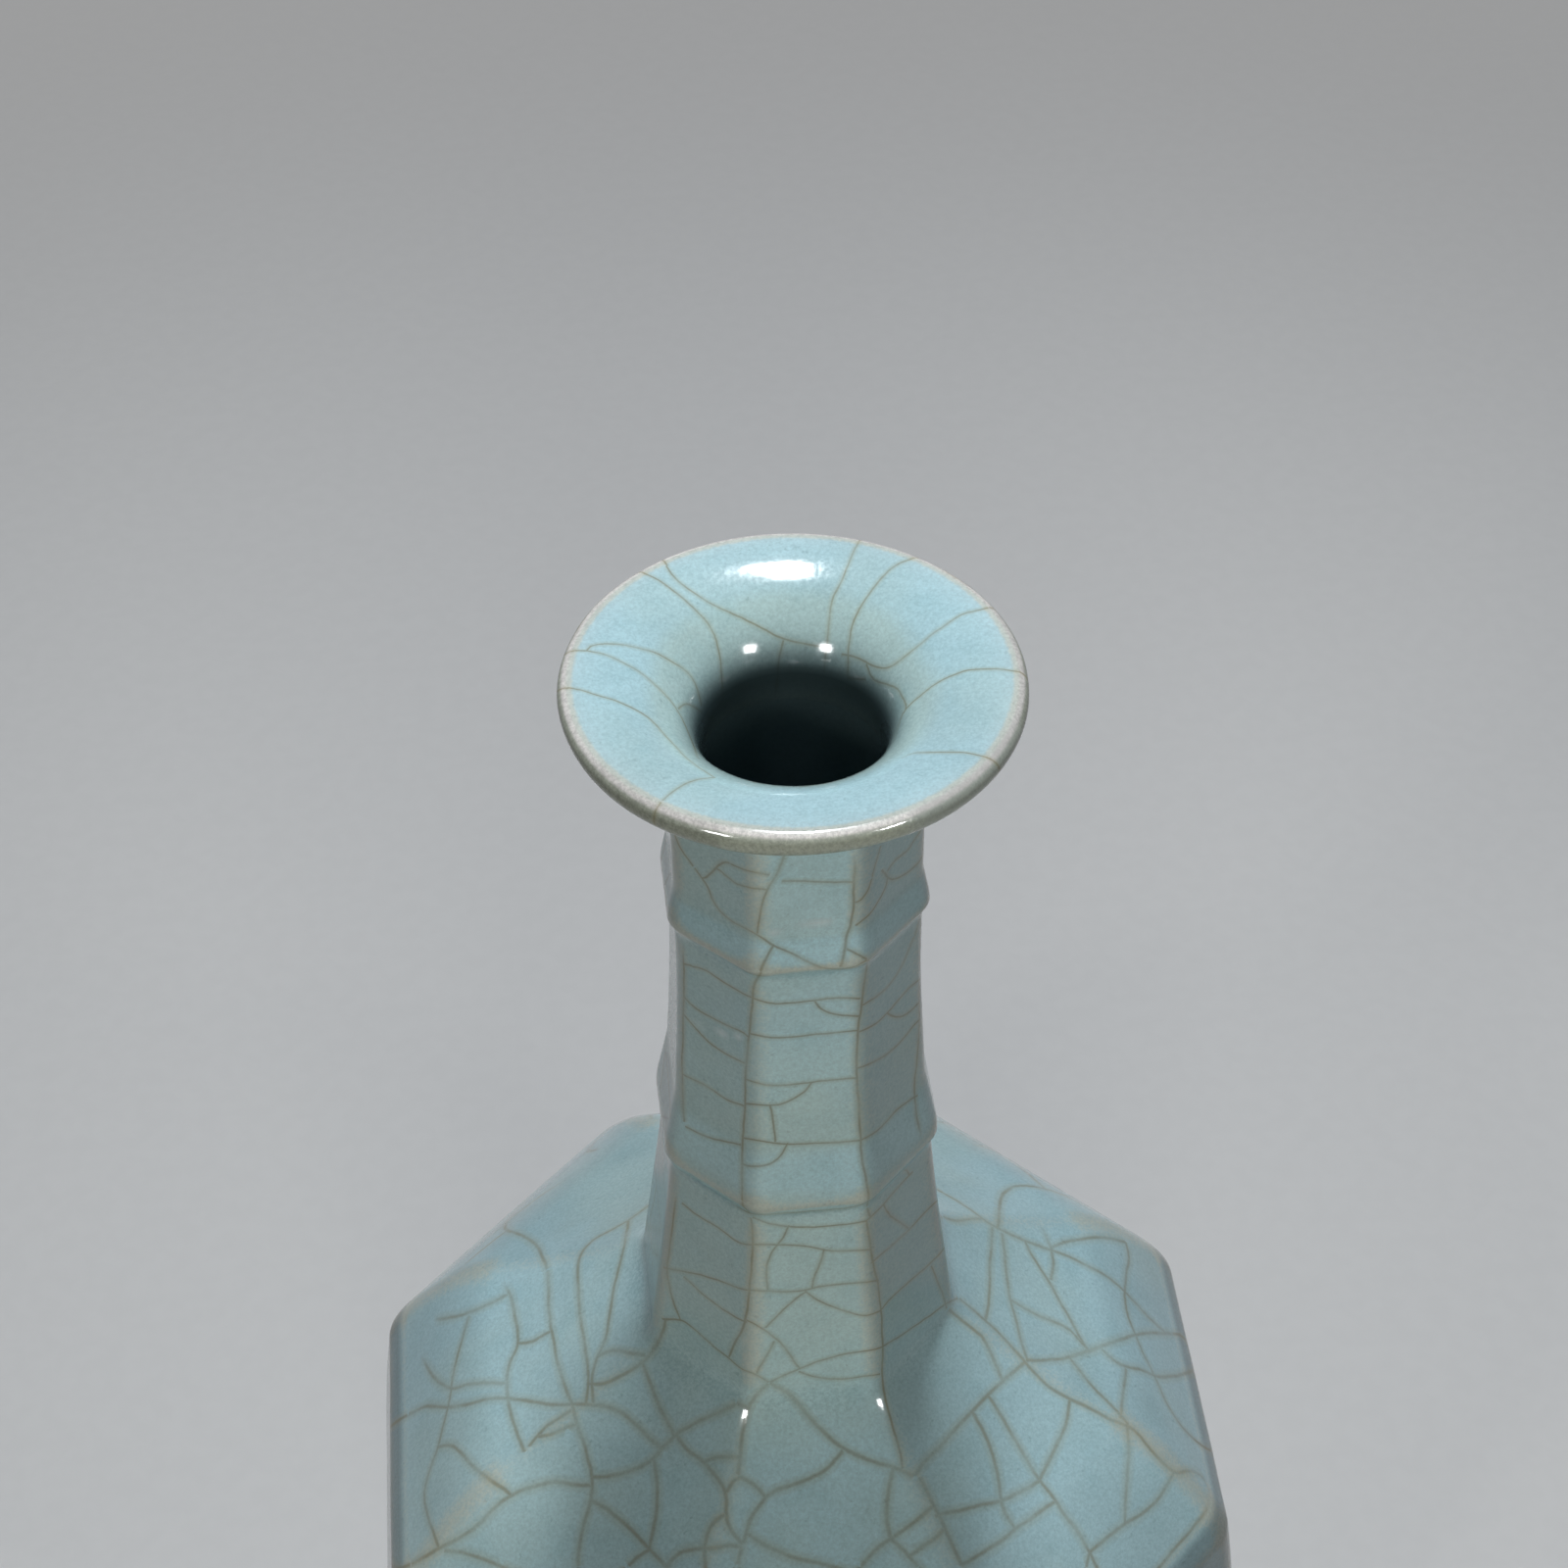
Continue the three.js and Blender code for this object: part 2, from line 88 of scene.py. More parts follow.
# Walls and arrises
BODY_ARRIS = 8.0
NECK_ARRIS = 5.0
LEAST_ARRIS = 0.8
GLAZE_THICKNESS = 1.0
LINER_THICKNESS = 0.7
BOND_GAP = 0.3
BODY_WALL = 4.2
NECK_WALL = 2.75
EDGE_REACH_UP, EDGE_REACH_DOWN = 4.4, 1.2
FOOT_RIM = 6.5
FOOT_BEVEL = 0.9
FOOT_DRAW = 0.4
MENISCUS = 0.8

# The glaze line above the foot: how far it wavers and over what height, and the roll that it ends in
GLAZE_WAVER, WAVER_FADE = 0.9, 6
GLAZE_ROLL, ROLL_MIDDLE = 0.3, 0.9

# Raised bands: bottom, height, and how far they stand proud
BANDS = (
    (JOINT_LEVEL + 0.4, 14.5, 1.15),
    (MOUTH_LEVEL - 24.5, 7.5, 1.0),
)
CREST_LOW, CREST_HIGH = 0.18, 0.3

# The hand-built twist of the octagon, in degrees from its true place
BODY_TWIST = -0.6
NECK_TWIST = 0.5

# The wall's unevenness: waves to a millimetre and height, slow and quick
SLOW_WAVES, SLOW_WOBBLE = 0.021, 0.32
QUICK_WAVES, QUICK_WOBBLE = 0.075, 0.1

# Fineness of the glaze mesh: columns on each face, and row steps of wall, edge, shoulder, neck, flare, lip and throat
FLAT_COLUMNS = 28
ARC_COLUMNS = 10
ROW_STEPS = (1.75, 0.8, 1.5, 1.2, 1.0, 0.45, 0.95)
EDGE_MIDDLE, EDGE_ZONE = SHOULDER_LEVEL + 2, 5
BACK_TOLERANCE = 0.4


# Outline

def bend(start, end, first, second, steps):
    """Cubic bend between two (half width, height) points, handles as shares of the step."""
    start, end = np.array(start), np.array(end)
    a = start + (end - start) * first
    b = start + (end - start) * second
    t = np.linspace(0, 1, steps + 1)[:, None]
    u = 1 - t
    return u**3 * start + 3 * u**2 * t * a + 3 * u * t**2 * b + t**3 * end


def oval(centre, across, up, start, end, steps):
    """Part of an upright oval between two angles in degrees."""
    angle = np.radians(np.linspace(start, end, steps + 1))
    return np.column_stack((centre[0] + across * np.cos(angle), centre[1] + up * np.sin(angle)))


def joined(*stretches):
    """Stretches end to start, without the points that two of them share."""
    kept = [stretches[0]] + [s[1:] for s in stretches[1:]]
    return np.vstack(kept)


def clipped(outline, low, high):
    """The stretch of a rising outline between two heights."""
    z = outline[:, 1]
    inner = outline[(z > low + 1e-6) & (z < high - 1e-6)]
    ends = [(np.interp(level, z, outline[:, 0]), level) for level in (low, high)]
    return np.vstack((ends[0], inner, ends[1]))


def between(x, start, end):
    """A straight step from 0 at start to 1 at end."""
    return np.clip((x - start) / (end - start), 0, 1)


def eased(step):
    """A step with soft ends."""
    return step * step * (3 - 2 * step)


def near(x, middle, width):
    """A soft bump of height 1 round a middle."""
    return np.exp(-(((x - middle) / width) ** 2))


def band_relief(z):
    """How far the bands stand proud of the neck at a height: steep below, a long slope above."""
    proud = np.zeros_like(z)
    for bottom, height, most in BANDS:
        up = (z - bottom) / height
        share = np.minimum(eased(between(up, 0, CREST_LOW)), between(up, 1, CREST_HIGH))
        proud += most * np.where((up > 0) & (up < 1), share, 0)
    return proud


def body_outline():
    """From the foot over the belly and the rounded edge to the neck's root."""
    foot = np.array([(FOOT_HALF, 0), (FOOT_HALF, GLAZE_LINE), (WAIST_HALF, BASE_LEVEL)])
    bottom, belly = (BOTTOM_HALF, FLOOR_LEVEL), (BELLY_HALF, BELLY_LEVEL)
    edge, turn, root = (EDGE_HALF, SHOULDER_LEVEL), (TURN_HALF, TURN_LEVEL), (ROOT_HALF, ROOT_LEVEL)
    below = joined(
        bend(bottom, belly, (0.38, 0.15), (1, 0.5), 60),
        bend(belly, edge, (0, 0.4), (0.6, 0.75), 40),
    )
    above = joined(
        bend(edge, turn, (0.28, 0.36), (0.62, 0.8), 40),
        bend(turn, root, (0.33, 0.235), (0.985, 0.84), 60),
    )
    under = clipped(below, FLOOR_LEVEL, SHOULDER_LEVEL - EDGE_REACH_DOWN)
    over = clipped(above, SHOULDER_LEVEL + EDGE_REACH_UP, ROOT_LEVEL)
    t = np.linspace(0, 1, 17)[:, None]
    rounding = (1 - t) ** 2 * under[-1] + 2 * t * (1 - t) * np.array(edge) + t**2 * over[0]
    return np.vstack((foot, joined(under, rounding, over)))


def neck_outline():
    """From the root up to the mouth, without its bands."""
    root, joint = (ROOT_HALF, ROOT_LEVEL), (JOINT_HALF, JOINT_LEVEL)
    straight = (NECK_HALF, STRAIGHT_LEVEL)
    return joined(
        bend(root, joint, (0.36, 0.33), (0.75, 0.7), 40),
        bend(joint, straight, (0.55, 0.3), (1, 0.67), 50),
        np.array([straight, (NECK_HALF, MOUTH_LEVEL)]),
    )


def mouth_outline():
    """Up the stem, out under the mouth, round the lip and down into the bore."""
    stem, flare = (NECK_HALF, MOUTH_LEVEL), (NECK_HALF, STEM_LEVEL)
    underside = (LIP_CREST_RADIUS, UNDERSIDE_LEVEL)
    lip = (LIP_CREST_RADIUS, LIP_LEVEL - LIP_THICKNESS / 2)
    throat = (LIP_CREST_RADIUS, LIP_LEVEL - THROAT_DEPTH)
    return joined(
        np.array([stem, flare]),
        bend(flare, underside, (0, 0.75), (0.4, 0.9), 30),
        oval(lip, LIP_OVERHANG, LIP_THICKNESS / 2, -90, 90, 24),
        oval(throat, LIP_CREST_RADIUS - BORE_RADIUS, THROAT_DEPTH, 90, 180, 40),
        np.array([(BORE_RADIUS, LIP_LEVEL - THROAT_DEPTH), (BORE_RADIUS, MOUTH_LEVEL)]),
    )


def run_of(outline):
    """Length along an outline at each of its points."""
    return np.concatenate(([0], np.cumsum(np.hypot(*np.diff(outline, axis=0).T))))


def resampled(outline, step):
    """An outline with even steps."""
    run = run_of(outline)
    at = np.linspace(0, run[-1], max(2, round(run[-1] / step) + 1))
    return np.column_stack([np.interp(at, run, outline[:, i]) for i in (0, 1)])


class Levels:
    """Rows of a surface: half width, height, arris radius, and how round each row is."""

    def __init__(self, half, z, arris, round_share):
        self.half, self.z, self.arris, self.round = half, z, arris, round_share
        self.run = run_of(np.column_stack((half, z)))

    def at(self, run):
        """Half width, height, arris radius and roundness at lengths along the surface."""
        return [np.interp(run, self.run, v) for v in (self.half, self.z, self.arris, self.round)]


def arris_at(z):
    """Radius of the arrises at a height: full on the body, less on the neck."""
    return np.interp(z, (TURN_LEVEL, ROOT_LEVEL), (BODY_ARRIS, NECK_ARRIS))


def wall_at(z):
    """Thickness of the clay wall at a height: full on the body, less on the neck."""
    return np.interp(z, (TURN_LEVEL, ROOT_LEVEL), (BODY_WALL, NECK_WALL))


def outside_levels():
    """The glaze's outside, from its foot line over the lip to the top of the bore."""
    body = clipped(body_outline(), GLAZE_LINE, ROOT_LEVEL)
    neck = neck_outline()
    z_neck = np.arange(ROOT_LEVEL, MOUTH_LEVEL, 0.25)
    half = np.interp(z_neck, neck[:, 1], neck[:, 0]) + band_relief(z_neck)
    neck = np.column_stack((half, z_neck))
    mouth = mouth_outline()
    z_body = body[:, 1]
    near_edge = np.abs(z_body - EDGE_MIDDLE) < EDGE_ZONE
    first, last = np.flatnonzero(near_edge)[[0, -1]]
    crest = np.argmax(mouth[:, 1])
    flare_end = np.argmax(mouth[:, 1] >= UNDERSIDE_LEVEL - 0.4)
    stretches = (
        body[: first + 1], body[first : last + 1], body[last:], np.vstack((neck, mouth[:1])),
        mouth[: flare_end + 1], mouth[flare_end : crest + 1], mouth[crest:],
    )
    rows = joined(*(resampled(stretch, step) for stretch, step in zip(stretches, ROW_STEPS)))
    half, z = rows.T
    order = np.arange(len(rows))
    beyond = order >= np.argmax(z >= STEM_LEVEL)
    spread = np.clip((half - NECK_HALF) / (LIP_CREST_RADIUS - NECK_HALF) * 1.6, 0, 1)
    past_crest = order > np.argmax(z)
    share = np.where(past_crest, 1, np.where(beyond, spread, 0))
    return Levels(half, z, arris_at(z), share)


# Surface

def across_of(half, arris):
    """Half length of a face's flat and of its whole row, from its middle to the arris."""
    flat = (half - arris) * math.tan(HALF_SIDE)
    return flat, flat + arris * HALF_SIDE


def twist_at(z):
    """How far the octagon is turned at a height."""
    return np.radians(np.interp(z, (TURN_LEVEL, JOINT_LEVEL), (BODY_TWIST, NECK_TWIST)))


def wobble(grid):
    """Small unevenness of a hand-built wall, as a distance in millimetres for each point of a grid."""
    points = grid.reshape(-1, 3)
    slow = [noise.noise(Vector(p) * SLOW_WAVES) for p in points]
    quick = [noise.noise(Vector(p) * QUICK_WAVES + Vector((7, 3, 1))) for p in points]
    return (SLOW_WOBBLE * np.array(slow) + QUICK_WOBBLE * np.array(quick)).reshape(*grid.shape[:2], 1)


def place(face, across, half, z, arris, round_share):
    """Points on the surface, by face number and by length across from the face's middle."""
    flat, full = across_of(half, arris)
    turned = np.clip((np.abs(across) - flat) / arris, 0, None)
    on_arc = np.abs(across) > flat
    x = np.where(on_arc, half - arris + arris * np.cos(turned), half)
    y = np.where(on_arc, flat + arris * np.sin(turned), np.abs(across)) * np.sign(across)
    even = across / full * HALF_SIDE
    x = x + (half * np.cos(even) - x) * round_share
    y = y + (half * np.sin(even) - y) * round_share
    angle = face * 2 * HALF_SIDE - math.pi / 2 + twist_at(z)
    turned = (x * np.cos(angle) - y * np.sin(angle), x * np.sin(angle) + y * np.cos(angle), z + 0 * x)
    return np.stack(turned, -1)


def ring_table(flat_columns, arc_columns):
    """Face numbers and signed shares (of the flat, then of the arc) for one ring of columns."""
    flat = np.linspace(-1, 1, flat_columns + 1)
    arc = np.linspace(0, 1, arc_columns // 2 + 1)[1:]
    row = np.concatenate((-1 - arc[::-1], flat, 1 + arc))[:-1]
    return np.repeat(np.arange(SIDES), len(row)), np.tile(row, SIDES)


def grid_points(levels, flat_columns=FLAT_COLUMNS, arc_columns=ARC_COLUMNS):
    """Rows by columns of points."""
    faces, shares = ring_table(flat_columns, arc_columns)
    half, z, arris, share = (v[:, None] for v in (levels.half, levels.z, levels.arris, levels.round))
    flat, full = across_of(half, arris)
    size = np.abs(shares)[None, :]
    length = np.where(size <= 1, size * flat, flat + (size - 1) * (full - flat)) * np.sign(shares)[None, :]
    even = np.linspace(-1, 1, len(shares) // SIDES, endpoint=False)
    even = np.tile(even, SIDES)[None, :] * full
    across = length + (even - length) * share
    return place(faces[None, :], across, half, z, arris, share)


def normals_of(grid):
    """Outward normals of a grid of points that closes round in its columns."""
    round_step = np.roll(grid, -1, 1) - np.roll(grid, 1, 1)
    up_step = np.gradient(grid, axis=0)
    normal = np.cross(round_step, up_step)
    return normal / np.linalg.norm(normal, axis=2, keepdims=True)


def coarse_rows(levels, tolerance, longest=24):
    """The fewest rows that keep within a tolerance of the outline, for a surface that doesn't show."""
    line = np.column_stack((levels.half, levels.z))

    def split(first, last):
        """The rows to keep between two that are kept."""
        if last - first < 2:
            return []
        start, along = line[first], line[last] - line[first]
        rest = line[first + 1 : last] - start
        off = np.abs(rest[:, 0] * along[1] - rest[:, 1] * along[0]) / max(np.hypot(*along), 1e-9)
        if off.max() < tolerance and last - first < longest:
            return []
        middle = first + 1 + int(off.argmax()) if off.max() >= tolerance else (first + last) // 2
        return split(first, middle) + [middle] + split(middle, last)

    return np.array([0, *split(0, len(line) - 1), len(line) - 1])


def quads(rows, width, closed_rows):
    """Faces of a grid that closes round in its columns, and in its rows if asked."""
    row = np.arange(rows if closed_rows else rows - 1)[:, None]
    column = np.arange(width)[None, :]
    beside = (column + 1) % width
    above = (row + 1) % rows
    corners = (row * width + column, row * width + beside, above * width + beside, above * width + column)
    return np.stack([np.broadcast_to(c, (len(row), width)) for c in corners], -1).reshape(-1, 4)


def capped(rows, width):
    """Faces of a grid that closes round in its columns, with a flat cap on its first and last row."""
    top = (rows - 1) * width
    return quads(rows, width, False).tolist() + [list(range(width))[::-1], list(range(top, top + width))]


SHARP_ANGLE = 60


def mesh_piece(name, points, faces, finish, slot_name, *replaced):
    """A smooth mesh of points in millimetres that rides on the vase."""
    mesh = bpy.data.meshes.new(name)
    mesh.from_pydata((np.asarray(points).reshape(-1, 3) * MM).tolist(), [], list(faces))
    mesh.shade_smooth()
    mesh.set_sharp_from_angle(angle=math.radians(SHARP_ANGLE))
    piece = bpy.data.objects.new(name, mesh)
    bpy.context.scene.collection.objects.link(piece)
    mesh.materials.append(finish)
    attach(piece, "root")
    if replaced:
        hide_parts(*replaced)
    return piece


# Camera

FRAME = 1600
LENS, SENSOR = 73.04, 36.0
FOCAL = FRAME * LENS / SENSOR
CAMERA_DISTANCE = 329.28
CAMERA_HEIGHT = 583.93
TURN, PITCH, YAW, ROLL = 6.0, 43.1228, 5.7685, -0.5606


def add_camera():
    """The camera at the photograph's place, from the lens and angles that were fitted to it."""
    yaw, pitch, roll, turn = (math.radians(v) for v in (YAW, PITCH, ROLL, TURN))
    forward = Vector((math.sin(yaw) * math.cos(pitch), math.cos(yaw) * math.cos(pitch), -math.sin(pitch)))
    level_right = Vector((math.cos(yaw), -math.sin(yaw), 0))
    level_up = level_right.cross(forward)
    right = math.cos(roll) * level_right + math.sin(roll) * level_up
    up = -math.sin(roll) * level_right + math.cos(roll) * level_up
    place_at = Vector((-math.sin(turn), -math.cos(turn), 0)) * CAMERA_DISTANCE
    place_at.z = CAMERA_HEIGHT
    data = bpy.data.cameras.new("camera")
    data.lens, data.sensor_width = LENS, SENSOR
    data.clip_start, data.clip_end = 0.01, 20
    camera = bpy.data.objects.new("camera", data)
    camera.matrix_world = Matrix((
        (right.x, up.x, -forward.x, place_at.x * MM),
        (right.y, up.y, -forward.y, place_at.y * MM),
        (right.z, up.z, -forward.z, place_at.z * MM),
        (0, 0, 0, 1),
    ))
    bpy.context.scene.collection.objects.link(camera)
    bpy.context.scene.camera = camera
    return camera


camera = add_camera()


# Crackle
# Lines seen in the photograph, as places x,y in its 1600 by 1600 frame, one line after another.

MOUTH_CRACKS = (
    (877,552, 868,570, 859,591, 852,606, 848,618, 845,641, 843,668, 840,690),
    (934,569, 914,577, 898,592, 886,607, 877,622, 870,636, 867,652, 866,668, 864,705),
    (1009,620, 982,627, 964,638, 950,648, 935,661, 923,670, 909,680, 898,681, 886,677, 873,671, 859,668),
    (1041,686, 1023,683, 1005,683, 988,684, 973,689, 958,696, 945,705, 923,725, 916,745),
    (1007,773, 990,769, 973,768, 945,768, 930,769, 920,774),
    (655,584, 670,591, 686,602, 700,613, 714,627, 724,638, 730,650, 734,668, 736,690, 738,715),
    (680,577, 690,592, 709,605, 727,617, 745,625, 760,632, 777,641, 800,652, 832,659),
    (800,652, 795,672, 793,695, 790,720),
    (586,664, 600,664, 618,668, 634,675, 650,684, 664,695, 677,707, 688,720, 697,735, 707,759, 713,775),
    (616,657, 634,658, 650,661, 668,666, 682,673, 695,681, 705,691, 712,704, 716,722),
    (692,723, 699,718, 708,721, 718,729, 728,734),
    (580,702, 594,704, 609,709, 630,716, 650,725, 665,735, 677,748, 688,760, 697,770),
    (675,818, 684,809, 695,802, 710,796, 729,793),
    (884,677, 890,692, 902,697, 915,702, 922,714),
    (866,692, 884,694),
)

NECK_CRACKS = (
    (799,876, 793,892, 784,905, 778,922, 775,938, 773,953),
    (745,881, 764,889, 785,893),
    (798,899, 820,899, 845,900, 871,900),
    (872,866, 872,885, 871,905, 871,925, 868,943, 863,957, 862,970, 858,986),
    (708,885, 722,905, 727,918, 735,930, 748,941, 762,948, 775,955, 790,965, 806,972, 821,980, 838,987, 855,989,
     870,987, 884,980),
    (863,968, 874,973, 885,979),
    (874,944, 887,933, 896,920, 903,907, 906,895, 900,888),
    (900,888, 908,897, 920,894, 930,887, 938,879),
    (906,888, 914,877, 926,868, 931,860),
    (899,862, 894,880, 890,896),
    (740,893, 752,902, 768,906),
    (776,992, 770,1006, 768,1020, 766,1040, 763,1065, 761,1095, 760,1130, 758,1165, 757,1200, 758,1226),
    (886,980, 883,995, 881,1012, 878,1032, 876,1050, 874,1080, 875,1110, 877,1140, 878,1165, 881,1190, 886,1214,
     885,1232),
    (768,1018, 781,1023, 800,1024, 830,1021, 855,1018, 878,1019),
    (831,1021, 838,1030, 851,1035, 876,1037),
    (765,1055, 790,1059, 812,1058, 835,1055, 858,1053, 876,1051),
    (761,1101, 780,1107, 805,1107, 830,1104, 850,1102, 874,1100),
    (828,1105, 822,1113, 812,1120, 800,1126, 785,1128, 761,1126),
    (786,1128, 789,1141, 790,1155, 791,1166),
    (759,1161, 780,1165, 797,1167, 822,1167, 850,1166, 878,1164),
    (804,1167, 797,1180, 785,1188, 768,1190),
    (706,986, 716,988, 728,995, 741,1004, 756,1013, 768,1018),
    (697,1016, 704,1024, 713,1031, 726,1038),
    (698,1035, 712,1052, 725,1065, 744,1077, 762,1086),
    (704,1100, 722,1109, 742,1122, 760,1129),
    (697,962, 698,1000, 697,1045, 696,1100, 698,1146),
    (700,1150, 714,1157, 732,1163, 757,1168),
    (880,1026, 897,1015, 910,1002, 920,986, 927,970, 933,955),
    (878,1052, 893,1045, 904,1035, 917,1020, 928,1008, 939,999),
    (905,1033, 911,1037, 920,1037, 930,1031, 938,1022),
    (875,1090, 890,1084, 906,1075, 920,1062, 931,1048, 939,1040),
    (878,1164, 893,1155, 904,1145, 915,1133, 926,1124, 936,1118),
    (938,1000, 938,1045, 936,1078, 933,1110, 935,1135, 940,1160),
    (742,1226, 757,1234, 772,1239, 800,1238, 838,1235, 868,1232, 886,1226, 900,1214),
    (768,1242, 784,1248, 802,1251, 830,1252, 858,1250, 884,1246),
    (884,1246, 895,1236, 904,1226, 916,1212, 931,1196),
    (901,1228, 907,1238, 916,1246, 927,1253),
    (889,1289, 905,1275, 920,1262, 931,1251, 944,1237, 957,1224),
    (884,1246, 887,1265, 891,1290, 896,1312, 899,1335, 900,1358, 901,1380, 900,1402, 903,1425, 908,1445, 915,1467,
     919,1484, 921,1499),
    (766,1242, 768,1262, 767,1287, 765,1312, 763,1335, 758,1355, 750,1370, 744,1384),
    (696,1228, 712,1240, 730,1251, 745,1262, 757,1269, 768,1270, 790,1270, 812,1271, 830,1273, 846,1276, 866,1276,
     889,1275),
    (805,1251, 800,1262, 792,1272, 785,1283, 782,1297, 783,1317),
    (841,1275, 837,1289, 831,1302, 828,1315),
    (677,1293, 700,1298, 720,1302, 740,1309, 757,1315, 772,1317, 796,1318, 820,1317, 836,1313, 862,1310, 896,1307),
    (698,1303, 712,1316, 725,1327, 739,1337, 752,1345, 762,1349),
    (822,1318, 811,1326, 800,1336, 790,1346, 781,1355),
    (822,1318, 833,1326, 851,1334, 870,1340, 885,1342, 899,1337),
    (899,1337, 904,1330, 916,1318, 931,1305, 946,1292, 958,1280, 967,1268),
    (950,1291, 956,1306, 962,1322, 966,1336),
    (762,1347, 772,1352, 781,1358, 794,1368, 804,1379, 811,1390, 817,1398),
    (790,1368, 784,1380, 778,1391, 772,1402),
    (676,1346, 695,1347, 705,1353, 716,1363, 730,1375, 745,1387, 757,1397, 770,1402, 785,1411),
    (785,1411, 800,1403, 816,1397, 835,1389, 860,1382, 880,1379, 898,1375, 916,1365, 935,1352, 951,1341, 966,1330,
     978,1324),
    (816,1400, 830,1405, 850,1407, 870,1406, 898,1402),
    (690,1216, 687,1245, 683,1275, 681,1300, 686,1325, 694,1346),
)

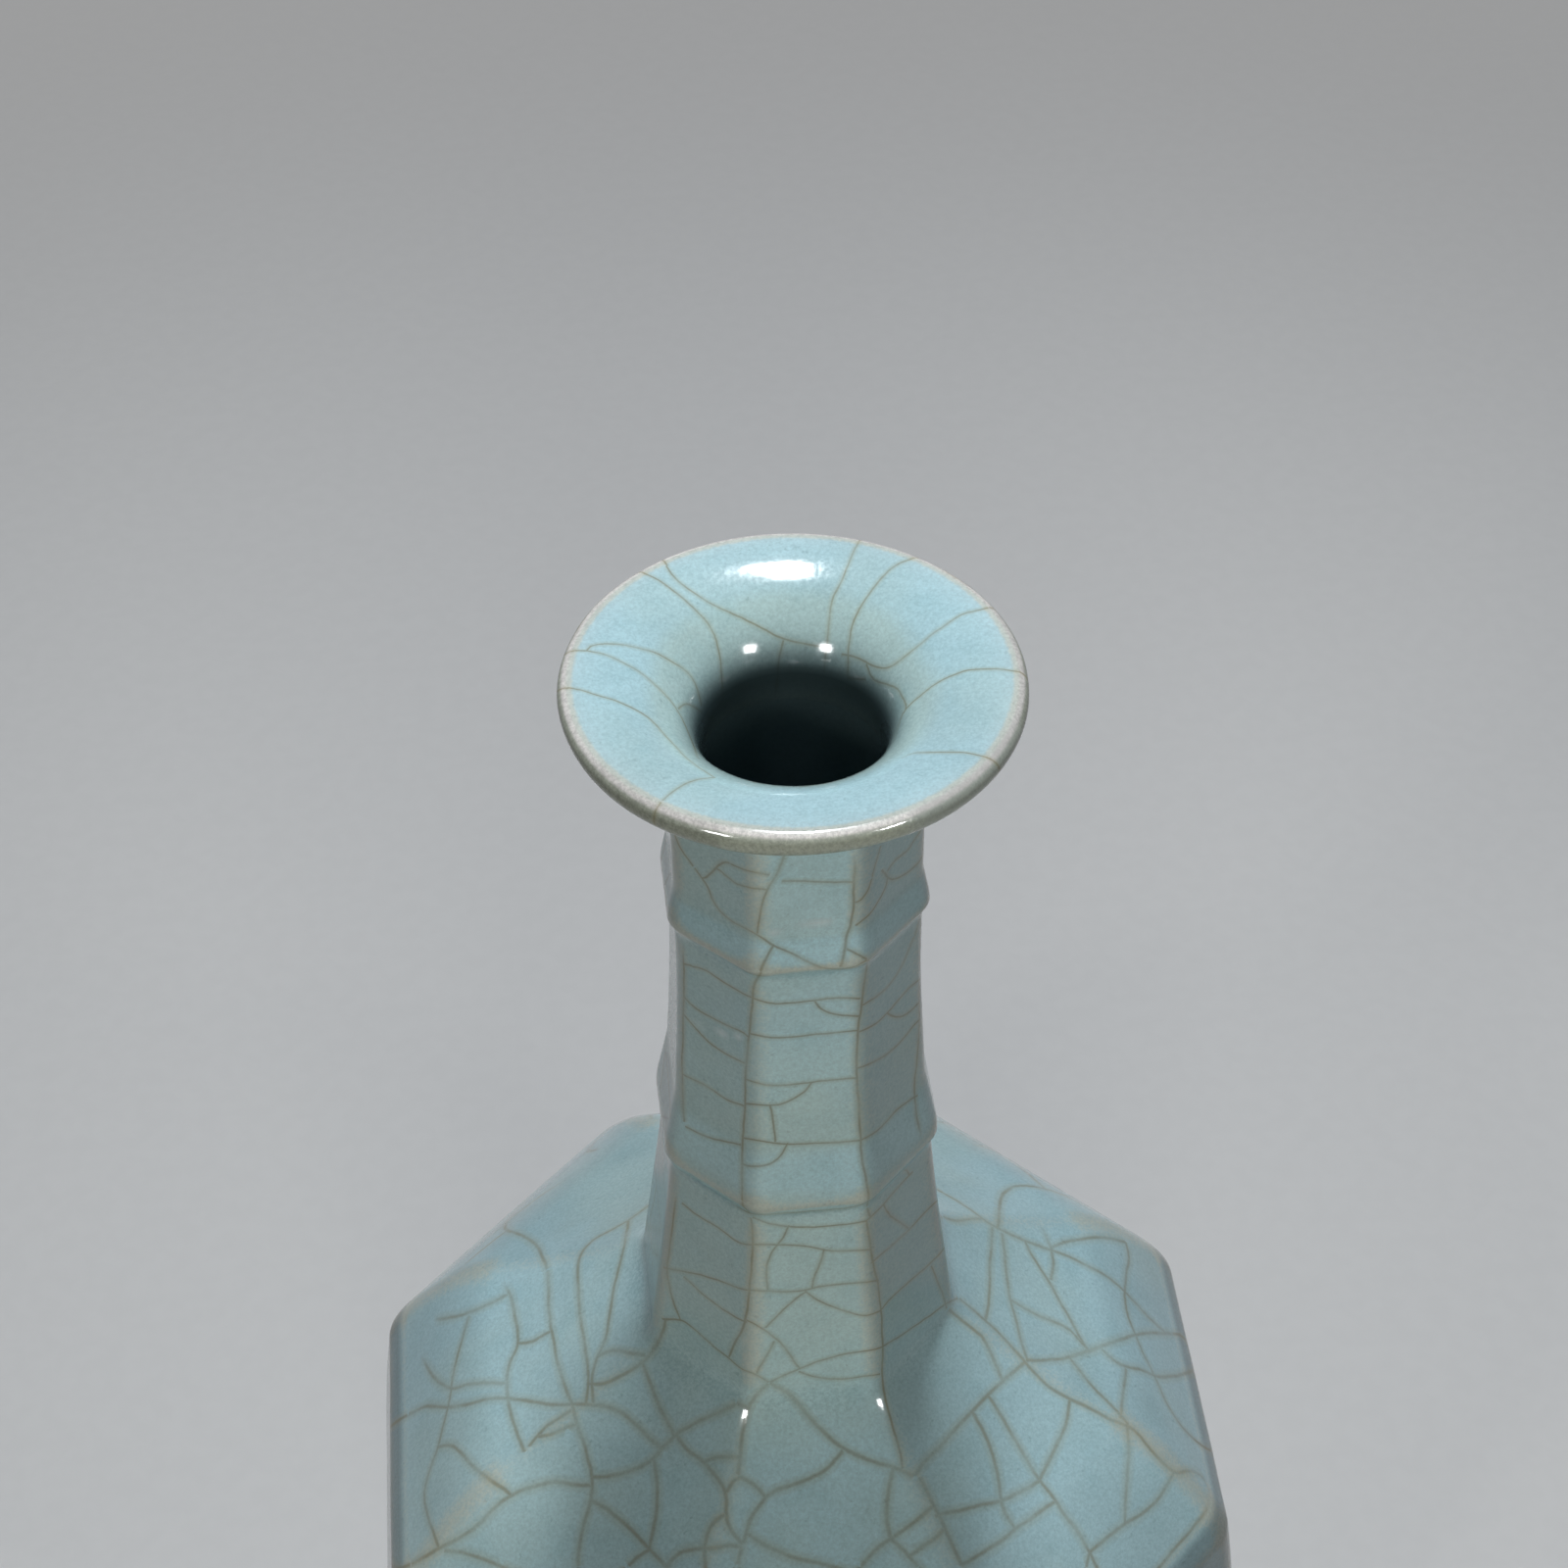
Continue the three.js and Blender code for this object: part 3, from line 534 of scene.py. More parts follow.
SHOULDER_CRACKS = (
    (654,1236, 640,1246, 622,1256, 603,1267, 591,1284, 590,1310, 592,1340, 596,1370, 600,1395, 600,1415, 598,1433),
    (559,1296, 560,1320, 561,1345, 565,1370, 570,1395, 577,1416, 584,1433),
    (559,1296, 550,1275, 538,1263, 522,1257),
    (512,1308, 521,1322, 525,1342, 529,1360, 527,1376, 520,1391, 517,1406, 518,1426, 522,1445, 527,1461, 535,1481),
    (528,1371, 541,1370, 552,1364, 563,1358),
    (518,1321, 496,1332, 470,1342, 443,1347),
    (479,1342, 472,1365, 466,1387, 462,1405, 460,1420, 456,1441, 450,1464, 446,1480, 438,1502, 433,1523, 436,1545,
     442,1563, 448,1579),
    (430,1384, 440,1401, 450,1412, 461,1417, 477,1413, 496,1411, 517,1412),
    (416,1444, 435,1435, 456,1436, 478,1433, 500,1427, 520,1427, 541,1430, 561,1433, 582,1433, 602,1433, 620,1436,
     636,1442, 650,1454, 663,1467, 675,1478),
    (446,1477, 460,1475, 471,1483, 479,1493, 490,1503),
    (584,1434, 588,1452, 595,1470, 600,1490, 604,1507, 604,1524, 600,1542, 596,1556, 591,1577, 590,1599),
    (584,1438, 570,1447, 557,1456, 546,1468, 539,1477),
    (548,1466, 562,1464, 579,1457),
    (604,1507, 620,1507, 640,1502, 656,1496, 667,1488, 675,1478),
    (604,1516, 586,1515, 568,1512, 548,1516, 527,1523, 508,1536, 487,1557, 468,1570, 449,1580, 419,1596),
    (602,1530, 616,1538, 631,1550, 645,1562, 658,1576, 670,1588, 681,1599),
    (667,1488, 669,1502, 671,1521, 670,1541, 667,1560, 662,1581),
    (640,1599, 650,1589, 663,1581),
    (655,1390, 661,1405, 668,1424, 677,1444, 687,1463),
    (600,1412, 616,1412, 631,1406, 645,1398, 656,1389, 667,1377, 676,1360, 679,1346),
    (605,1432, 604,1404, 609,1386, 618,1366, 622,1342, 627,1312, 635,1280, 640,1254),
    (610,1384, 624,1378, 640,1380, 660,1383),
    (452,1582, 470,1584, 491,1590, 512,1599),
    (752,1432, 736,1440, 720,1447, 705,1455, 690,1463, 681,1473, 675,1478),
    (690,1464, 701,1479, 718,1492, 734,1511, 741,1527, 741,1547, 746,1562, 758,1575),
    (718,1491, 735,1487, 757,1487),
    (785,1411, 774,1421, 765,1432, 760,1448, 757,1470, 755,1491, 754,1507),
    (741,1524, 748,1512, 754,1507, 766,1513, 775,1520, 781,1528),
    (752,1432, 762,1436),
    (781,1528, 791,1521, 806,1516, 826,1509, 842,1500, 852,1490, 861,1479),
    (781,1528, 772,1540, 765,1552, 762,1566, 757,1578),
    (785,1411, 803,1421, 815,1433, 825,1446, 837,1458, 850,1470, 863,1479, 881,1488, 900,1494, 917,1499, 933,1506),
    (933,1506, 944,1491, 956,1479, 970,1464, 985,1447, 1001,1431, 1020,1412, 1046,1390),
    (911,1500, 907,1520, 905,1540, 906,1558, 909,1570),
    (951,1538, 936,1551, 921,1562, 909,1570, 896,1579, 886,1589, 878,1599),
    (909,1570, 918,1578, 926,1586, 937,1599),
    (928,1588, 941,1578, 955,1570, 964,1560),
    (762,1564, 775,1573, 791,1582, 811,1590, 831,1594, 852,1599),
    (741,1545, 729,1552, 722,1565, 719,1581, 720,1599),
    (681,1599, 690,1586, 706,1581, 731,1579, 757,1578, 751,1599),
    (962,1217, 976,1225, 990,1234, 1003,1244, 1016,1252, 1032,1260, 1050,1268, 1071,1275, 1090,1282, 1110,1292,
     1130,1303, 1146,1316, 1158,1329, 1171,1343, 1188,1359),
    (962,1242, 976,1246, 990,1244, 1003,1243),
    (1013,1252, 1011,1278, 1010,1304, 1009,1330, 1005,1348),
    (1023,1258, 1026,1290, 1029,1316, 1034,1337, 1039,1356, 1043,1372, 1048,1388),
    (1030,1325, 1046,1335, 1061,1343, 1078,1350, 1093,1358, 1104,1371, 1112,1379),
    (1046,1267, 1053,1281, 1062,1295, 1071,1309, 1081,1327, 1092,1346, 1101,1363, 1111,1379),
    (1061,1249, 1068,1262, 1073,1276, 1075,1291, 1072,1306),
    (1048,1388, 1066,1388, 1086,1386, 1101,1381, 1116,1377, 1131,1371, 1146,1366, 1159,1362, 1176,1360, 1197,1361),
    (1149,1268, 1152,1283, 1149,1301, 1148,1320, 1150,1340, 1158,1360, 1165,1378, 1173,1393, 1180,1408, 1188,1427,
     1196,1441, 1206,1456, 1219,1469),
    (1124,1376, 1136,1388, 1150,1395, 1166,1398, 1180,1404, 1195,1405, 1208,1402),
    (1092,1386, 1105,1403, 1118,1418, 1132,1432, 1143,1444, 1151,1454),
    (1149,1397, 1147,1415, 1145,1432, 1143,1446),
    (1046,1390, 1057,1403, 1071,1415, 1091,1427, 1111,1436, 1131,1448, 1150,1455, 1161,1463, 1171,1475, 1181,1487,
     1191,1497, 1200,1503, 1215,1501, 1227,1507, 1234,1521),
    (1197,1503, 1189,1519, 1178,1534, 1165,1545, 1149,1554, 1135,1565, 1121,1577, 1112,1584),
    (1150,1455, 1152,1481, 1150,1510, 1148,1535, 1148,1554),
    (1008,1424, 1020,1441, 1030,1460, 1040,1477, 1052,1497, 1061,1510, 1073,1526, 1086,1545, 1099,1562, 1112,1584,
     1119,1599),
    (1092,1428, 1088,1450, 1080,1471, 1070,1491, 1061,1510),
    (992,1440, 1003,1460, 1012,1481, 1018,1505, 1021,1527, 1026,1545, 1036,1560),
    (955,1547, 980,1541, 1001,1536, 1019,1532, 1036,1525, 1050,1518, 1061,1510),
    (1077,1532, 1062,1542, 1048,1552, 1036,1560, 1020,1574, 1001,1585, 980,1598),
    (968,1336, 985,1350, 1001,1362, 1009,1376, 1015,1390, 1023,1408),
    (978,1324, 995,1338, 1008,1350, 1021,1362, 1035,1377, 1046,1390),
    (937,1505, 946,1522, 956,1543, 964,1560, 973,1580, 983,1599),
    (1112,1584, 1108,1599),
    (1233,1530, 1231,1541, 1222,1553, 1208,1570, 1194,1586, 1183,1599),
    (1020,1232, 1023,1219, 1034,1211, 1047,1210),
    (1071,1274, 1088,1267, 1106,1264, 1127,1263, 1148,1267),
)


# Faint pale scratches on the neck, listed the same way

SCRATCHES = (
    (779,956, 795,950, 812,946, 826,943, 840,941),
    (836,943, 852,938, 868,934),
    (700,1036, 712,1044, 727,1051, 743,1056, 760,1059),
)

# Half widths of the lines: in the mouth, across the neck, along its arrises, and on the body.
# A line on the neck that is taller than TALL_LINE in the frame runs along an arris.
FINE_CRACK, NECK_CRACK, ARRIS_CRACK, WIDE_CRACK = 0.12, 0.15, 0.19, 0.3
TALL_LINE = 100
FINE_DEPTH = 12

# How lines are laid and kept: steps in the frame and on the surface, the widest leap within a line, search bins,
# how far a normal may turn, and how squarely a seen place faces the camera
PIXEL_STEP = 2.5
CRACK_STEP = 0.9
LARGEST_LEAP = 4
BIN = 2.0
FAR = 1e3
SAME_SIDE = 0.2
SEEN_FACING = 0.22
CLEAR_OF_SKIN = 1.5

# How cracks grow: their bends, how they turn to others and meet them, and how far they go
FIRST_BEND, BEND_KEPT, BEND_STEP = 0.035, 0.86, 0.022
TURN_REACH, TURN_PULL, MEET_REACH, AHEAD = 3.2, 0.35, 1.1, 0.25
STUCK = 0.3
JOINED = 1.5
LEAD_MOST, SEEN_MOST = 30, 8
CRACK_MOST, CRACK_LEAST = 70, 5
WIDEST_SEARCH = 30
RISE, SWING = 0.4, 0.25
END_FADE = 5
ENOUGH = 400
STRENGTHS = (0.65, 1)

# Branches: the shortest crack that has them, how far from its ends, their lean, steps, strengths and relative width
PARENT_LEAST, PARENT_END = 12, 4
BRANCH_LEAN, BRANCH_STEPS, BRANCH_STRENGTHS, BRANCH_WIDTH = 0.35, (6, 15), (0.4, 0.8), 0.85
BRANCHES, WELL_BRANCHES = 60, 12

# Least half gaps between cracks: on the outside by height, under the mouth, above the foot, and in the foot well
SPACING_LEVELS = (SHOULDER_LEVEL - 2, SHOULDER_LEVEL + 4, ROOT_LEVEL, ROOT_LEVEL + 8)
SPACINGS = (10.5, 8.5, 6.5, 4.4)
MOUTH_SPACING, FOOT_SPACING, WELL_SPACING = 6.5, 7, 7.5
SPACING_MIDDLE, SPACING_VARIES, SPACING_WAVES = 1.05, 0.45, 0.03

# Cracks along arrises: how they waver, how far out their places start, and the shortest run and its strength
ARRIS_WAVER, ARRIS_OUT, RUN_LEAST, RUN_STRENGTH = 0.002, 1.03, 9, 0.9
SOFT_FOCUS = 0.85
SCRATCH_HALF, SCRATCH_REACH = 0.5, 1.2

# How far a crack's values reach over the mesh, and the mesh cell that they are made for
VALUE_REACH = 4.5
CELL = 2.3
LAYER_GAP = 2.6
NO_CRACK = (9.0, 9.0, 0.0)


def sight(pixel):
    """Direction from the camera through a place in the photograph's frame."""
    x, y = (pixel[0] - FRAME / 2) / FOCAL, (FRAME / 2 - pixel[1]) / FOCAL
    return (camera.matrix_world.to_3x3() @ Vector((x, y, -1))).normalized()


def frame_place(point):
    """Where a point in millimetres shows in the photograph's frame."""
    local = camera.matrix_world.inverted() @ (Vector(point) * MM)
    return FRAME / 2 - FOCAL * local.x / local.z, FRAME / 2 + FOCAL * local.y / local.z


def evenly(line, step):
    """A line with even steps between its points."""
    run = np.concatenate(([0], np.cumsum(np.linalg.norm(np.diff(line, axis=0), axis=1))))
    at = np.linspace(0, run[-1], max(2, round(run[-1] / step) + 1))
    return np.column_stack([np.interp(at, run, line[:, i]) for i in range(line.shape[1])])


def rounded_line(points, step):
    """An even line that passes smoothly through points."""
    points = np.array(points, float)
    p = np.vstack((2 * points[0] - points[1], points, 2 * points[-1] - points[-2]))
    t = np.linspace(0, 1, 8, endpoint=False)[:, None]
    parts = []
    for a, b, c, d in zip(p, p[1:], p[2:], p[3:]):
        parts.append(0.5 * (2 * b + (c - a) * t + (2 * a - 5 * b + 4 * c - d) * t**2 + (3 * b - a - 3 * c + d) * t**3))
    return evenly(np.vstack(parts + [p[-2:-1]]), step)


class Skin:
    """A surface that cracks run over: its points, normals, cell sizes and a tree for finding places on it.

    spacing_of gives how far from a crack a place may be before it gets one of its own.
    """

    def __init__(self, points, normals, spacing_of):
        rows, width = points.shape[:2]
        self.shape = (rows, width)
        self.points = points.reshape(-1, 3)
        self.normals = normals.reshape(-1, 3)
        self.tree = BVHTree.FromPolygons(self.points.tolist(), quads(rows, width, False).tolist())
        along = np.linalg.norm(np.gradient(points, axis=0), axis=2)
        beside = np.linalg.norm(np.roll(points, -1, 1) - points, axis=2)
        self.cells = np.hypot(along, beside).reshape(-1)
        picked = np.zeros(self.shape, bool)
        picked[2:-2:2, ::4] = True
        self.picked = np.flatnonzero(picked)
        self.spacing = spacing_of(self.points[self.picked])
        self.clear = np.full(len(self.picked), FAR)
        self.cracks = []
        self.grid = {}

    def settle(self, point):
        """The nearest place on the surface, and the normal there."""
        found, normal, index, _ = self.tree.find_nearest(Vector(point))
        corner = self.normals[self.tree_corner(index)]
        return np.array(found), corner

    def tree_corner(self, index):
        """The first corner of one of the tree's faces."""
        row, column = divmod(index, self.shape[1])
        return row * self.shape[1] + column

    def cell_at(self, point):
        """The size of the mesh cells round a place."""
        return self.cells[self.tree_corner(self.tree.find_nearest(Vector(point))[2])]

    def bins(self, point):
        """The bin of the search grid that a place is in."""
        return tuple(int(v // BIN) for v in point)

    def add(self, points, strength, size):
        """Takes in one crack: points on the surface, with a strength for each."""
        settled = [self.settle(p) for p in points]
        points = np.array([s[0] for s in settled])
        normals = np.array([s[1] for s in settled])
        number = len(self.cracks)
        self.cracks.append((points, normals, np.asarray(strength), size))
        for p in points:
            self.grid.setdefault(self.bins(p), []).append((number, p))
        block = self.points[self.picked]
        facing = self.normals[self.picked] @ normals.T > SAME_SIDE
        apart = np.linalg.norm(block[:, None] - points[None], axis=2)
        self.clear = np.minimum(self.clear, np.where(facing, apart, FAR).min(1))
        return number

    def nearest(self, point, reach, but=()):
        """The nearest crack point within reach, as its distance, crack number and place."""
        best = (reach, None, None)
        cell = self.bins(point)
        span = int(reach // BIN) + 1
        for dx in range(-span, span + 1):
            for dy in range(-span, span + 1):
                for dz in range(-span, span + 1):
                    for number, place_ in self.grid.get((cell[0] + dx, cell[1] + dy, cell[2] + dz), ()):
                        if number in but:
                            continue
                        gap = math.dist(point, place_)
                        if gap < best[0]:
                            best = (gap, number, place_)
        return best


def in_photo(point, normal):
    """Whether the photograph shows a place on the vase."""
    eye = camera.matrix_world.translation / MM
    toward_eye = eye - Vector(point)
    if toward_eye.normalized().dot(Vector(normal)) < SEEN_FACING:
        return False
    x, y = frame_place(point)
    if not (0 < x < FRAME and 0 < y < FRAME):
        return False
    start = Vector(point) + toward_eye.normalized() * CLEAR_OF_SKIN
    return skin.tree.ray_cast(start, toward_eye.normalized())[0] is None


def grow(surface, start, heading, most, blocked, but):
    """A crack from a place: it wavers, turns to a crack near by, and stops where it meets one."""
    point, normal = surface.settle(start)
    heading = np.array(heading, float)
    bend_rate = rng.gauss(0, FIRST_BEND)
    line = [point]
    while len(line) < most:
        heading -= normal * (heading @ normal)
        heading /= np.linalg.norm(heading) + 1e-9
        bend_rate = BEND_KEPT * bend_rate + rng.gauss(0, BEND_STEP)
        heading = heading + np.cross(normal, heading) * bend_rate
        gap, number, met = surface.nearest(point, TURN_REACH, but)
        if number is not None:
            away = met - point
            ahead = away @ heading / max(gap, 1e-6)
            if ahead > AHEAD:
                if gap < MEET_REACH:
                    line.append(met)
                    return line, True
                heading = heading + TURN_PULL * away / gap
        moved, new_normal = surface.settle(point + heading / np.linalg.norm(heading))
        if np.linalg.norm(moved - point) < STUCK:
            break
        point, normal = moved, new_normal
        if blocked is not None and blocked(point, normal):
            break
        line.append(point)
    return line, False


def taper(count, first_met, last_met):
    """Strength along a crack: full, but fading to an end that meets nothing."""
    order = np.arange(count)
    strength = np.ones(count)
    if not first_met:
        strength = np.minimum(strength, (order + 0.3) / END_FADE)
    if not last_met:
        strength = np.minimum(strength, (count - 0.7 - order) / END_FADE)
    return np.clip(strength, 0, 1)


def trace(pixels, size, strength=1.0):
    """A crack that the photograph shows, laid on the surface along the camera's lines of sight."""
    eye = camera.matrix_world.translation / MM
    hits = [skin.tree.ray_cast(eye, sight(p))[0] for p in rounded_line(np.reshape(pixels, (-1, 2)), PIXEL_STEP)]
    runs, current = [], []
    for hit in hits:
        far = hit is None or (current and (hit - current[-1]).length > LARGEST_LEAP)
        if far and current:
            runs.append(current)
            current = []
        if hit is not None:
            current.append(hit)
    runs.append(current)
    longest = max(runs, key=len)
    if len(longest) > 2:
        line = evenly(np.array([tuple(p) for p in longest]), CRACK_STEP)
        skin.add(line, np.full(len(line), strength), size)


def seen_steps(limit):
    """Blocks a growing crack once it has run a few steps where the photograph would show it."""
    left = [limit]

    def blocked(point, normal):
        """Counts the steps that show, and says when there are too many."""
        left[0] -= in_photo(point, normal)
        return left[0] < 0

    return blocked


def lead_on(count):
    """Leads traced cracks over the small gaps that tracing left, and on where they leave the photograph."""
    for number in range(count):
        points, normals, strength, size = skin.cracks[number]
        for end, inner in ((0, 2), (-1, -3)):
            if len(points) < 4 or skin.nearest(points[end], JOINED, (number,))[1] is not None:
                continue
            onward = points[end] - points[inner]
            line, met = grow(skin, points[end], onward, LEAD_MOST, seen_steps(SEEN_MOST), (number,))
            if met or not in_photo(line[-1], skin.settle(line[-1])[1]):
                if len(line) > 2:
                    line = evenly(np.array(line), CRACK_STEP)
                    skin.add(line, taper(len(line), True, met), size)
            else:
                fade = np.clip((np.arange(len(points)) + 0.6) / END_FADE, 0, 1)
                strength[:] = np.minimum(strength, fade if end == 0 else fade[::-1])


def split_wide_cells(surface, size_of, blocked):
    """Cracks every stretch that is still wider than its spacing, widest first."""
    open_places = np.ones(len(surface.picked), bool)
    if blocked is not None:
        for i, index in enumerate(surface.picked):
            open_places[i] = not blocked(surface.points[index], surface.normals[index])
    for _ in range(ENOUGH):
        share = np.where(open_places, surface.clear / surface.spacing, 0)
        pick = int(share.argmax())
        if share[pick] < 1:
            return
        start = surface.points[surface.picked[pick]]
        normal = surface.normals[surface.picked[pick]]
        gap, number, met = surface.nearest(start, min(surface.clear[pick] + 0.5, WIDEST_SEARCH))
        if number is None:
            heading = np.cross(normal, (rng.gauss(0, 1), rng.gauss(0, 1), rng.gauss(0, RISE)))
        else:
            heading = met - start
        swing = rng.gauss(0, SWING)
        heading = heading + np.cross(normal, heading) * swing
        ahead, met_ahead = grow(surface, start, heading, CRACK_MOST, blocked, ())
        behind, met_behind = grow(surface, start, -heading, CRACK_MOST, blocked, ())
        line = np.array(behind[::-1] + ahead[1:])
        if len(line) < CRACK_LEAST:
            open_places[pick] = False
            continue
        line = evenly(line, CRACK_STEP)
        strength = taper(len(line), met_behind, met_ahead) * rng.uniform(*STRENGTHS)
        surface.add(line, strength, size_of(start))


def branch(surface, count, size_of, blocked):
    """Short cracks that leave others and fade out."""
    for _ in range(count):
        number = rng.randrange(len(surface.cracks))
        points, normals, _, _ = surface.cracks[number]
        if len(points) < PARENT_LEAST:
            continue
        i = rng.randrange(PARENT_END, len(points) - PARENT_END)
        if blocked is not None and blocked(points[i], normals[i]):
            continue
        along = points[i + 1] - points[i - 1]
        heading = np.cross(normals[i], along) * rng.choice((-1, 1)) + along * rng.gauss(0, BRANCH_LEAN)
        line, met = grow(surface, points[i], heading, rng.randrange(*BRANCH_STEPS), blocked, (number,))
        if len(line) > 4:
            line = evenly(np.array(line), CRACK_STEP)
            strength = taper(len(line), True, met) * rng.uniform(*BRANCH_STRENGTHS)
            surface.add(line, strength, size_of(points[i]) * BRANCH_WIDTH)


def layers_of(surface):
    """Sorts the cracks into layers so that those of one layer stay well apart."""
    order = sorted(range(len(surface.cracks)), key=lambda i: -len(surface.cracks[i][0]))
    boxes = [(c[0].min(0), c[0].max(0)) for c in surface.cracks]
    reach = [LAYER_GAP * max(surface.cell_at(c[0][k]) for k in (0, len(c[0]) // 2, -1)) for c in surface.cracks]
    layers = []
    for i in order:
        points = surface.cracks[i][0]
        for layer in layers:
            if all(far_apart(points, surface.cracks[j][0], boxes[i], boxes[j], max(reach[i], reach[j])) for j in layer):
                layer.append(i)
                break
        else:
            layers.append([i])
    return layers


def far_apart(first, second, box, other, reach):
    """Whether two lines stay more than a reach apart; their boxes are tried first."""
    if np.any(box[0] - reach > other[1]) or np.any(other[0] - reach > box[1]):
        return True
    gap = np.linalg.norm(first[:, None] - second[None], axis=2).min()
    return gap > reach


def crack_values(surface, layer):
    """For each point: signed distance across, cell-sized distance, and strength of its layer's nearest crack."""
    values = np.tile(NO_CRACK, (len(surface.points), 1))
    sizes = np.full(len(surface.points), WIDE_CRACK)
    for number in layer:
        points, normals, strength, size = surface.cracks[number]
        low, high = points.min(0) - VALUE_REACH, points.max(0) + VALUE_REACH
        close = np.flatnonzero(np.all((surface.points > low) & (surface.points < high), axis=1))
        if not len(close):
            continue
        here, facing = surface.points[close], surface.normals[close]
        step = np.diff(points, axis=0)
        length = np.linalg.norm(step, axis=1)
        unit = step / np.maximum(length, 1e-6)[:, None]
        from_start = here[:, None] - points[None, :-1]
        raw = np.einsum("ijk,jk->ij", from_start, unit)
        along = np.clip(raw, 0, length)
        foot = points[None, :-1] + unit[None] * along[..., None]
        apart = np.linalg.norm(here[:, None] - foot, axis=2)
        turned_away = facing @ normals[:-1].T < SAME_SIDE
        apart = np.where(turned_away, FAR, apart)
        best = apart.argmin(1)
        pick = np.arange(len(close))
        gap = apart[pick, best]
        side = np.cross(unit[best], facing)
        side /= np.linalg.norm(side, axis=1, keepdims=True) + 1e-9
        across = np.einsum("ij,ij->i", here - points[best], side)
        beyond = np.where(best == 0, np.maximum(-raw[pick, best], 0), 0)
        beyond += np.where(best == len(step) - 1, np.maximum(raw[pick, best] - length[best], 0), 0)
        wide = (gap + 3 * beyond) / (surface.cells[close] / CELL)
        nearer = (gap < VALUE_REACH) & (wide < values[close, 1])
        chosen = close[nearer]
        values[chosen, 0] = across[nearer]
        values[chosen, 1] = np.minimum(wide[nearer], NO_CRACK[1])
        values[chosen, 2] = strength[best[nearer]]
        sizes[chosen] = size
    return values, sizes


def relief_of(points, normals, levels, width):
    """How far each point stands out of the surface smoothed over a few millimetres."""
    run = levels.run
    kernel = np.exp(-(((run[:, None] - run[None]) / width) ** 2) / 2)
    kernel *= np.gradient(run)[None]
    kernel /= kernel.sum(1, keepdims=True)
    smooth = np.einsum("ij,jkl->ikl", kernel, points)
    result = np.empty_like(smooth)
    for i, ring in enumerate(smooth):
        gaps = np.linalg.norm(np.roll(ring, -1, 0) - ring, axis=1)
        at = np.concatenate(([0], np.cumsum(gaps)[:-1]))
        apart = np.abs(at[:, None] - at[None])
        apart = np.minimum(apart, gaps.sum() - apart)
        weight = np.exp(-((apart / width) ** 2) / 2) * ((gaps + np.roll(gaps, 1)) / 2)[None]
        result[i] = weight @ ring / weight.sum(1, keepdims=True)
    return np.einsum("ijk,ijk->ij", points - result, normals)


def set_values(piece, name, kind, values, count):
    """A named attribute on the first points of a piece; the rest get no crack and no value."""
    is_vector = kind == "FLOAT_VECTOR"
    filled = np.tile(np.float32(NO_CRACK if is_vector else (0,)), (len(piece.data.vertices), 1))
    filled[:count] = np.asarray(values, np.float32).reshape(count, -1)
    data = piece.data.attributes.new(name, kind, "POINT")
    data.data.foreach_set("vector" if is_vector else "value", filled.ravel())


# Materials

class Nodes:
    """A material under construction: each call adds a node and gives back its output."""

    def __init__(self, name):
        self.material = bpy.data.materials.new(name)
        self.material.use_nodes = True
        self.tree = self.material.node_tree
        self.shader = self.tree.nodes["Principled BSDF"]

    def put(self, socket, value):
        """Links a node's output to a socket, or sets the socket's own value."""
        if isinstance(value, bpy.types.NodeSocket):
            self.tree.links.new(value, socket)
        else:
            socket.default_value = value

    def add(self, kind, inputs, output=0, **settings):
        """A node with its inputs and settings, as its output."""
        node = self.tree.nodes.new("ShaderNode" + kind)
        for key, value in settings.items():
            setattr(node, key, value)
        for key, value in inputs.items():
            self.put(node.inputs[key], value)
        return node.outputs[output]

    def math(self, operation, a, b=0.0):
        """Arithmetic on two values."""
        return self.add("Math", {0: a, 1: b}, operation=operation)

    def sum(self, a, b):
        """One value and another."""
        return self.math("ADD", a, b)

    def product(self, a, b):
        """One value times another."""
        return self.math("MULTIPLY", a, b)

    def ramp(self, value, start, end, low=0.0, high=1.0):
        """A soft step from low at start to high at end."""
        inputs = {0: value, 1: start, 2: end, 3: low, 4: high}
        return self.add("MapRange", inputs, interpolation_type="SMOOTHSTEP")

    def mix(self, share, a, b, blend_type="MIX"):
        """One colour laid over another by a share."""
        a, b = (c if isinstance(c, bpy.types.NodeSocket) else (*c, 1) for c in (a, b))
        return self.add("Mix", {0: share, 6: a, 7: b}, 2, data_type="RGBA", blend_type=blend_type)

    def place(self):
        """The place on the piece, in millimetres."""
        node = self.tree.nodes.new("ShaderNodeTexCoord")
        return self.add("VectorMath", {0: node.outputs["Object"], "Scale": 1 / MM}, operation="SCALE")

    def noise(self, place_, width, detail=2.0, seed=0.0, roughness=0.5):
        """Noise from 0 to 1 whose lumps are about a width in millimetres."""
        moved = self.add("VectorMath", {0: place_, 1: (seed, 2.3 * seed, -seed)}, operation="ADD")
        inputs = {"Vector": moved, "Scale": 0.6 / width, "Detail": detail, "Roughness": roughness}
        return self.add("TexNoise", inputs, "Fac")

    def value(self, name, kind="Fac"):
        """A named attribute of the piece."""
        node = self.tree.nodes.new("ShaderNodeAttribute")
        node.attribute_name = name
        return node.outputs[kind]

    def finish(self, **sockets):
        """Sets the shader's sockets and gives the material."""
        for name, value in sockets.items():
            self.put(self.shader.inputs[name.replace("_", " ")], value)
        return self.material
